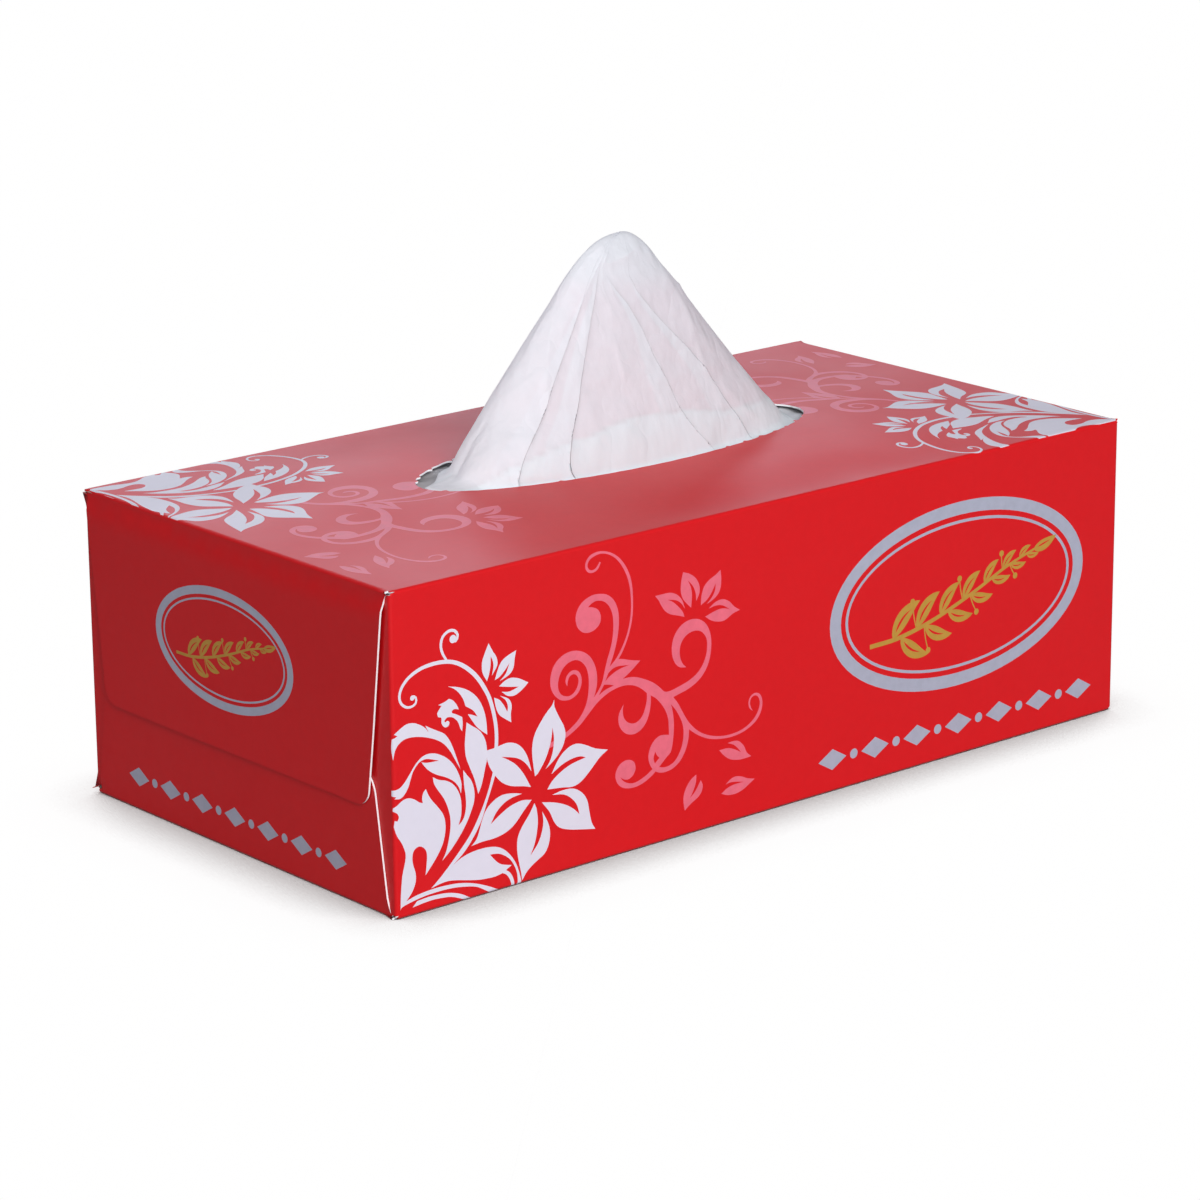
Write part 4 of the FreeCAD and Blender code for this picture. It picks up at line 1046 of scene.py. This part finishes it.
    # ---- paler colour where paper lies doubled (pleat laps and the second layer's band), plus a painted highlight on the left flank and paler towards the tip
    layers = np.zeros(grid.shape[:2])
    xx, yy, zz = grid[:len(zs), :, 0], grid[:len(zs), :, 1], grid[:len(zs), :, 2]
    edge = np.interp(xx, [q[0] for q in BAND], [q[1] for q in BAND])
    band = ramp((edge - zz) / 0.9 + 0.5) * (yy < 3)
    for r, z in enumerate(zs):
        th, _ = ring_row(cols, z, 1.0)
        for where_, top, wide, kind in PLEATS:
            e = float(pleat_angle(where_, np.array(z)))
            w = wide * max(0.0, (top - max(z, RIM_Z)) / (top - RIM_Z))
            t = (th - e + math.pi) % (2 * math.pi) - math.pi
            t = t * float(speed(e, np.array(z))) * (-kind)
            layers[r] = np.maximum(layers[r], 0.8 * ramp(t / 0.3 + 0.5) * ramp((w - t) / 0.9 + 0.5) * (w > 0.3))
    first = PLEATS[4][0]
    # painted highlight: the left flank, left of the first front pleat, is coloured paler so that it looks lit
    flank = ramp((np.interp(zz, [q[1] for q in first[::-1]], [q[0] for q in first[::-1]]) - xx) / 3.0)
    high = ramp((zz - 115.0) / 9.0)
    layers[:len(zs)] = np.minimum(1.0, np.maximum.reduce([layers[:len(zs)] * 0.6, band, 0.35 * flank, 0.6 * high]))
    layers[len(zs):] = 0.6
    # ---- painted shade: a thin dark line coloured beside every folded edge and along the band's upper edge, where the raised layer's shadow falls
    line = np.zeros(grid.shape[:2])
    for r, z in enumerate(zs):
        th, _ = ring_row(cols, z, 1.0)
        for where_, top, wide, kind in PLEATS:
            e = float(pleat_angle(where_, np.array(z)))
            t = ((th - e + math.pi) % (2 * math.pi) - math.pi) * float(speed(e, np.array(z))) * kind
            near = np.where(t > -0.06, np.exp(-np.maximum(t, 0) / 0.45), 0)
            line[r] = np.maximum(line[r], 0.32 * near * ramp((top - z) / 6.0))
    line[:len(zs)] = np.maximum(line[:len(zs)], 0.16 * np.exp(-np.abs(zz - edge) / 0.3) * (yy < 3))
    # painted shade: the hidden sheet under the torn left edge is coloured darker, standing in for the shade there
    line[len(zs):] = 0.85 * ramp((-42.0 - grid[len(zs):, :, 0]) / 7.0)     # in the shade under the torn edge
    return grid, layers, line


def tissue_mesh():
    grid, layers, line = build_tissue()
    NR, NT = grid.shape[:2]
    tip = np.array([grid[0][:, 0].mean(), grid[0][:, 1].mean(), TIP_Z])
    verts = [tuple(tip)] + [tuple(p) for row in grid for p in row]
    idx = lambda i, j: 1 + i * NT + (j % NT)
    faces = [(0, idx(0, j), idx(0, j + 1)) for j in range(NT)]
    for i in range(NR - 1):
        for j in range(NT):
            faces.append((idx(i, j), idx(i + 1, j), idx(i + 1, j + 1), idx(i, j + 1)))
    me = bpy.data.meshes.new("tissue_sheet")
    me.from_pydata((np.array(verts) * MM).tolist(), [], faces)
    me.polygons.foreach_set("use_smooth", np.ones(len(faces), bool))
    held = me.attributes.new("layers", "FLOAT", "POINT")
    held.data.foreach_set("value", np.r_[0.0, layers.ravel()].astype(np.float32))
    # painted shade along folded edges, the band's upper edge and under the torn left edge, kept as a vertex attribute
    shade = me.attributes.new("painted_shade", "FLOAT", "POINT")
    shade.data.foreach_set("value", np.r_[0.0, line.ravel()].astype(np.float32))
    me.update()
    ob = bpy.data.objects.new("tissue_sheet", me)
    bpy.context.scene.collection.objects.link(ob)
    area = sum(p.area for p in me.polygons)
    print("tissue area m2 %.4f" % area, "triangles", 2 * len(faces), "rows", NR, "columns", NT)
    return ob


# ---- the folded tissues in the carton --------------------------------------
def build_stack():
    """A block of lapped folds: rounded corners, and a groove between every two folded edges."""
    hx, hy, r = 105.8, 52.8, 2.6
    z0, z1 = 1.05, 72.9
    layers = 56
    ring_pts = []
    for cx_, cy_, a0 in ((hx - r, hy - r, 0), (-hx + r, hy - r, 90), (-hx + r, -hy + r, 180), (hx - r, -hy + r, 270)):
        for k in range(6):
            a = math.radians(a0 + 90 * k / 5)
            ring_pts.append((cx_ + r * math.cos(a), cy_ + r * math.sin(a)))
    ring_pts = spaced(ring_pts, 5.0)
    m = len(ring_pts)
    centre = ring_pts / np.abs(ring_pts).max(0)
    rows = []
    rng = np.random.RandomState(3)
    for i in range(layers):
        jut = rng.uniform(-0.35, 0.2)
        for f, dent in ((0.0, 0.75), (0.35, 0.0), (0.75, 0.05)):
            z = z0 + (z1 - 2.2 - z0) * (i + f) / layers
            wob = np.array([noise.noise(Vector((p[0] / 30, p[1] / 30, i * 0.37))) for p in ring_pts]) * 0.35
            k = 1 - (dent - jut + 0.35) / 52.0
            rows.append(np.c_[ring_pts[:, 0] * (1 - (dent - jut + 0.35 + wob) / hx),
                              ring_pts[:, 1] * (1 - (dent - jut + 0.35 + wob) / hy), np.full(m, z)])
    # rounded shoulder, then the softly waved top sheet
    for f in np.linspace(0, 1, 6)[1:]:
        a = f * math.pi / 2
        inset = 2.2 * (1 - math.cos(a)) + 0.4
        rows.append(np.c_[ring_pts[:, 0] * (1 - inset / hx), ring_pts[:, 1] * (1 - inset / hy),
                          np.full(m, z1 - 2.2 + 2.2 * math.sin(a))])
    for f in np.linspace(0.97, 0.04, 24):
        p = rows[-1][:, :2] * 0 + ring_pts * f * (1 - 2.6 / hx)
        zz = np.array([z1 - 0.35 + 0.5 * noise.noise(Vector((q[0] / 22, q[1] / 22, 0.4)))
                       + 0.16 * noise.noise(Vector((q[0] / 6, q[1] / 6, 2.4))) for q in p])
        rows.append(np.c_[p, zz])
    g = np.array(rows)
    nr = len(g)
    verts = g.reshape(-1, 3).tolist() + [(0, 0, z1 - 0.35), (0, 0, z0)]
    faces = []
    for i in range(nr - 1):
        for j in range(m):
            j2 = (j + 1) % m
            faces.append((i * m + j, i * m + j2, (i + 1) * m + j2, (i + 1) * m + j))
    top, bottom = len(verts) - 2, len(verts) - 1
    for j in range(m):
        j2 = (j + 1) % m
        faces.append(((nr - 1) * m + j, (nr - 1) * m + j2, top))
        faces.append((j2, j, bottom))
    me = bpy.data.meshes.new("tissue_block")
    me.from_pydata((np.array(verts) * MM).tolist(), [], faces)
    me.polygons.foreach_set("use_smooth", np.ones(len(faces), bool))
    me.update()
    ob = bpy.data.objects.new("tissue_block", me)
    bpy.context.scene.collection.objects.link(ob)
    return ob


# ---- materials --------------------------------------------------------------
def material(name, colour, rough, metallic=0.0, spec=0.5):
    m = bpy.data.materials.new(name)
    m.use_nodes = True
    nt = m.node_tree
    b = nt.nodes["Principled BSDF"]
    b.inputs["Base Color"].default_value = (*colour, 1)
    b.inputs["Roughness"].default_value = rough
    b.inputs["Metallic"].default_value = metallic
    b.inputs["Specular IOR Level"].default_value = spec
    return m, nt, b


def noise_node(nt, scale, detail=3.0, rough=0.5, stretch=(1, 1, 1)):
    tc = nt.nodes.new("ShaderNodeTexCoord")
    mp = nt.nodes.new("ShaderNodeMapping")
    mp.inputs["Scale"].default_value = stretch
    nz = nt.nodes.new("ShaderNodeTexNoise")
    nz.inputs["Scale"].default_value = scale
    nz.inputs["Detail"].default_value = detail
    nz.inputs["Roughness"].default_value = rough
    nt.links.new(tc.outputs["Object"], mp.inputs["Vector"])
    nt.links.new(mp.outputs["Vector"], nz.inputs["Vector"])
    return nz


def vary(nt, b, colour, amount, fac, dark=None):
    """Base colour that wanders a little with a noise."""
    mix = nt.nodes.new("ShaderNodeMix")
    mix.data_type = "RGBA"
    lo = [c * (1 - amount) for c in colour] if dark is None else dark
    hi = [min(1, c * (1 + amount)) for c in colour]
    mix.inputs["A"].default_value = (*lo, 1)
    mix.inputs["B"].default_value = (*hi, 1)
    nt.links.new(fac, mix.inputs["Factor"])
    nt.links.new(mix.outputs["Result"], b.inputs["Base Color"])
    return mix


def span(nt, value, lo, hi, to_lo, to_hi):
    r = nt.nodes.new("ShaderNodeMapRange")
    r.inputs["From Min"].default_value = lo
    r.inputs["From Max"].default_value = hi
    r.inputs["To Min"].default_value = to_lo
    r.inputs["To Max"].default_value = to_hi
    nt.links.new(value, r.inputs["Value"])
    return r.outputs["Result"]


def bump(nt, b, height, strength, distance):
    n = nt.nodes.new("ShaderNodeBump")
    n.inputs["Strength"].default_value = strength
    n.inputs["Distance"].default_value = distance
    nt.links.new(height, n.inputs["Height"])
    nt.links.new(n.outputs["Normal"], b.inputs["Normal"])
    return n


def printed(name, colour, rough, metallic=0.0, spec=0.5, grain=0.02):
    """Ink under a thin varnish on board: faint mottle, and the board's own surface below it."""
    m, nt, b = material(name, colour, rough, metallic, spec)
    mottle = noise_node(nt, 420.0, 4.0, 0.6)
    vary(nt, b, colour, grain, span(nt, mottle.outputs["Fac"], 0.3, 0.7, 0.0, 1.0))
    sheen = noise_node(nt, 26.0, 3.0)
    r = span(nt, sheen.outputs["Fac"], 0.3, 0.7, rough - 0.03, rough + 0.04)
    nt.links.new(r, b.inputs["Roughness"])
    fibre = noise_node(nt, 900.0, 3.0, 0.6, (1, 1, 1))
    bump(nt, b, fibre.outputs["Fac"], 0.05, 0.00004)
    return m


def make_materials():
    red = printed("red_print", (0.70, 0.004, 0.008), 0.40, spec=0.36)
    white = printed("white_print", (0.76, 0.73, 0.84), 0.40, spec=0.42, grain=0.012)
    pink = printed("pink_print", (0.83, 0.15, 0.215), 0.40, spec=0.36, grain=0.06)
    silver = printed("silver_print", (0.50, 0.515, 0.64), 0.42, 0.25, 0.5, grain=0.05)
    gold = printed("gold_print", (0.62, 0.35, 0.055), 0.40, 0.25, 0.5, grain=0.06)
    back, nt, b = material("board_back", (0.36, 0.31, 0.28), 0.85, spec=0.2)
    fleck = noise_node(nt, 700.0, 5.0, 0.7)
    vary(nt, b, (0.36, 0.31, 0.28), 0.16, span(nt, fleck.outputs["Fac"], 0.32, 0.68, 0, 1))
    bump(nt, b, fleck.outputs["Fac"], 0.2, 0.00008)
    raw, nt, b = material("board_edge", (0.92, 0.91, 0.94), 0.8, spec=0.2)
    fleck = noise_node(nt, 1500.0, 4.0, 0.7)
    vary(nt, b, (0.92, 0.91, 0.94), 0.05, span(nt, fleck.outputs["Fac"], 0.3, 0.7, 0, 1))
    bump(nt, b, fleck.outputs["Fac"], 0.25, 0.00006)
    return [red, white, pink, silver, gold, back, raw]


def tissue_material(name, colour, through, doubled=None):
    """Soft crepe paper: fine crepe lines across the sheet, fibre mottle, and light that comes through it."""
    m, nt, b = material(name, colour, 0.9, spec=0.12)
    b.inputs["Sheen Weight"].default_value = 0.08
    b.inputs["Sheen Roughness"].default_value = 0.5
    mott = noise_node(nt, 260.0, 5.0, 0.65)
    mix = vary(nt, b, colour, 0.022, span(nt, mott.outputs["Fac"], 0.3, 0.7, 0, 1))
    # paler colour from the layers attribute: real where paper lies doubled, a painted highlight on the left flank, and
    # paler towards the tip
    if doubled:
        held = nt.nodes.new("ShaderNodeAttribute")
        held.attribute_name = "layers"
        over = nt.nodes.new("ShaderNodeMix")
        over.data_type = "RGBA"
        over.inputs["B"].default_value = (*doubled, 1)
        nt.links.new(held.outputs["Fac"], over.inputs["Factor"])
        nt.links.new(mix.outputs["Result"], over.inputs["A"])
        # painted shade: the base colour is darkened along folded edges, the band's upper edge and under the torn left
        # edge, read from a vertex attribute
        edge = nt.nodes.new("ShaderNodeAttribute")
        edge.attribute_name = "painted_shade"
        painted_shade_mix = nt.nodes.new("ShaderNodeMix")
        painted_shade_mix.data_type = "RGBA"
        painted_shade_mix.inputs["B"].default_value = (0.42, 0.38, 0.38, 1)
        weight = nt.nodes.new("ShaderNodeMath")
        weight.operation = "MULTIPLY"
        weight.inputs[1].default_value = 0.8
        nt.links.new(edge.outputs["Fac"], weight.inputs[0])
        nt.links.new(weight.outputs["Value"], painted_shade_mix.inputs["Factor"])
        nt.links.new(over.outputs["Result"], painted_shade_mix.inputs["A"])
        nt.links.new(painted_shade_mix.outputs["Result"], b.inputs["Base Color"])
    crepe = noise_node(nt, 900.0, 2.0, 0.5, (1.0, 1.0, 0.28))
    both = nt.nodes.new("ShaderNodeMath")
    both.operation = "ADD"
    nt.links.new(crepe.outputs["Fac"], both.inputs[0])
    nt.links.new(mott.outputs["Fac"], both.inputs[1])
    fine = bump(nt, b, both.outputs["Value"], 0.22, 0.00018)
    # small sharp creases where the paper was crushed
    crush = noise_node(nt, 70.0, 3.0, 0.55, (1.0, 1.0, 0.6))
    off = nt.nodes.new("ShaderNodeMath")
    off.operation = "SUBTRACT"
    off.inputs[1].default_value = 0.5
    fold = nt.nodes.new("ShaderNodeMath")
    fold.operation = "ABSOLUTE"
    nt.links.new(crush.outputs["Fac"], off.inputs[0])
    nt.links.new(off.outputs["Value"], fold.inputs[0])
    sharp = nt.nodes.new("ShaderNodeBump")
    sharp.inputs["Strength"].default_value = 0.55
    sharp.inputs["Distance"].default_value = 0.0034
    nt.links.new(fold.outputs["Value"], sharp.inputs["Height"])
    nt.links.new(sharp.outputs["Normal"], fine.inputs["Normal"])
    if through:
        out = nt.nodes["Material Output"]
        tr = nt.nodes.new("ShaderNodeBsdfTranslucent")
        tr.inputs["Color"].default_value = (0.87, 0.87, 0.92, 1)
        mix = nt.nodes.new("ShaderNodeMixShader")
        mix.inputs["Fac"].default_value = through
        nt.links.new(b.outputs["BSDF"], mix.inputs[1])
        nt.links.new(tr.outputs["BSDF"], mix.inputs[2])
        nt.links.new(mix.outputs["Shader"], out.inputs["Surface"])
    return m


# ---- build ------------------------------------------------------------------
mats = make_materials()
carton = build_carton()
for m in mats:
    carton.data.materials.append(m)
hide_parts("carton")
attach(carton, "root")

block = build_stack()
block.data.materials.append(tissue_material("tissue_stack_paper", (0.80, 0.79, 0.80), 0.0))
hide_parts("tissue_stack")
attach(block, "root")

sheet = tissue_mesh()
sheet.data.materials.append(tissue_material("tissue_sheet_paper", (0.86, 0.82, 0.88), 0.25, (0.87, 0.92, 0.97)))
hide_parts("pulled_tissue")
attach(sheet, "root")

# ---- floor, light and camera ------------------------------------------------
scene = bpy.context.scene
scene.view_settings.view_transform = "Standard"
scene.view_settings.look = "None"

floor_me = bpy.data.meshes.new("floor")
floor_me.from_pydata([(-6, -6, 0), (6, -6, 0), (6, 6, 0), (-6, 6, 0)], [], [(0, 1, 2, 3)])
floor = bpy.data.objects.new("floor", floor_me)
scene.collection.objects.link(floor)
fm, nt, b = material("floor", (0.42, 0.42, 0.43), 0.9, spec=0.0)
out = nt.nodes["Material Output"]
lp = nt.nodes.new("ShaderNodeLightPath")
# seen directly, the floor is white, and close to the carton its glow is darkened by occlusion: a painted contact shadow
near = nt.nodes.new("ShaderNodeAmbientOcclusion")
near.samples = 4
near.inputs["Distance"].default_value = 0.032
painted_shadow_ramp = nt.nodes.new("ShaderNodeValToRGB")
stops = ((0.0, (0.04, 0.02, 0.02)), (0.40, (0.12, 0.07, 0.07)), (0.48, (0.40, 0.32, 0.32)), (0.53, (0.80, 0.74, 0.74)),
         (0.60, (0.95, 0.92, 0.923)), (0.74, (0.988, 0.976, 0.978)), (0.88, (1.0, 0.998, 0.998)))
while len(painted_shadow_ramp.color_ramp.elements) < len(stops):
    painted_shadow_ramp.color_ramp.elements.new(1.0)
for el, (at, tone) in zip(painted_shadow_ramp.color_ramp.elements, stops):
    el.position = at
    el.color = (*tone, 1)
glow = nt.nodes.new("ShaderNodeEmission")
glow.inputs["Strength"].default_value = 1.0
pick = nt.nodes.new("ShaderNodeMixShader")
nt.links.new(near.outputs["AO"], painted_shadow_ramp.inputs["Fac"])
nt.links.new(painted_shadow_ramp.outputs["Color"], glow.inputs["Color"])
nt.links.new(lp.outputs["Is Camera Ray"], pick.inputs["Fac"])
nt.links.new(b.outputs["BSDF"], pick.inputs[1])
nt.links.new(glow.outputs["Emission"], pick.inputs[2])
nt.links.new(pick.outputs["Shader"], out.inputs["Surface"])
floor_me.materials.append(fm)

world = bpy.data.worlds.new("studio")
scene.world = world
world.use_nodes = True
nt = world.node_tree
bg = nt.nodes["Background"]
bg.inputs["Color"].default_value = (0.97, 0.97, 1.0, 1)
bg.inputs["Strength"].default_value = 0.19
lp = nt.nodes.new("ShaderNodeLightPath")
seen = nt.nodes.new("ShaderNodeBackground")
seen.inputs["Color"].default_value = (1, 1, 1, 1)
seen.inputs["Strength"].default_value = 1.0
pick = nt.nodes.new("ShaderNodeMixShader")
nt.links.new(lp.outputs["Is Camera Ray"], pick.inputs["Fac"])
nt.links.new(bg.outputs["Background"], pick.inputs[1])
nt.links.new(seen.outputs["Background"], pick.inputs[2])
nt.links.new(pick.outputs["Shader"], nt.nodes["World Output"].inputs["Surface"])


def softbox(name, place, aim, size, power):
    li = bpy.data.lights.new(name, "AREA")
    li.shape = "RECTANGLE"
    li.size, li.size_y = size
    li.energy = power
    ob = bpy.data.objects.new(name, li)
    ob.location = place
    ob.rotation_euler = (Vector(aim) - Vector(place)).to_track_quat("-Z", "Y").to_euler()
    ob.visible_camera = False
    scene.collection.objects.link(ob)
    return ob


softbox("key", (-0.64, -1.69, 1.02), (0, 0, 0.05), (1.7, 1.5), 43.0)
glare = softbox("rear", (0.65, 1.72, 0.80), (0, 0, 0.05), (2.0, 0.8), 9.5)
glare.data.color = (0.80, 0.86, 1.0)
# a small light that only the sheet receives, for the glow of thin paper on its left flank
side = softbox("side", (-1.50, 0.50, 0.52), (0, 0, 0.10), (0.8, 0.6), 11.5)
lit = bpy.data.collections.new("lit_by_side")
lit.objects.link(sheet)
side.light_linking.receiver_collection = lit

CAM = (-0.667467, -0.783692, 0.342014)
RIGHT = (0.7622348, -0.64724993, -0.00810114)
DOWN = (-0.18887689, -0.21042567, -0.95919057)
AHEAD = (0.61913135, 0.73265855, -0.28264433)
cam_data = bpy.data.cameras.new("camera")
cam_data.sensor_fit = "HORIZONTAL"
cam_data.sensor_width = 36.0
cam_data.lens = 131.05
cam_data.clip_start = 0.01
cam_data.clip_end = 50
cam = bpy.data.objects.new("camera", cam_data)
rot = Matrix((RIGHT, [-v for v in DOWN], [-v for v in AHEAD])).transposed()
cam.matrix_world = Matrix.Translation(CAM) @ rot.to_4x4()
scene.collection.objects.link(cam)
scene.camera = cam
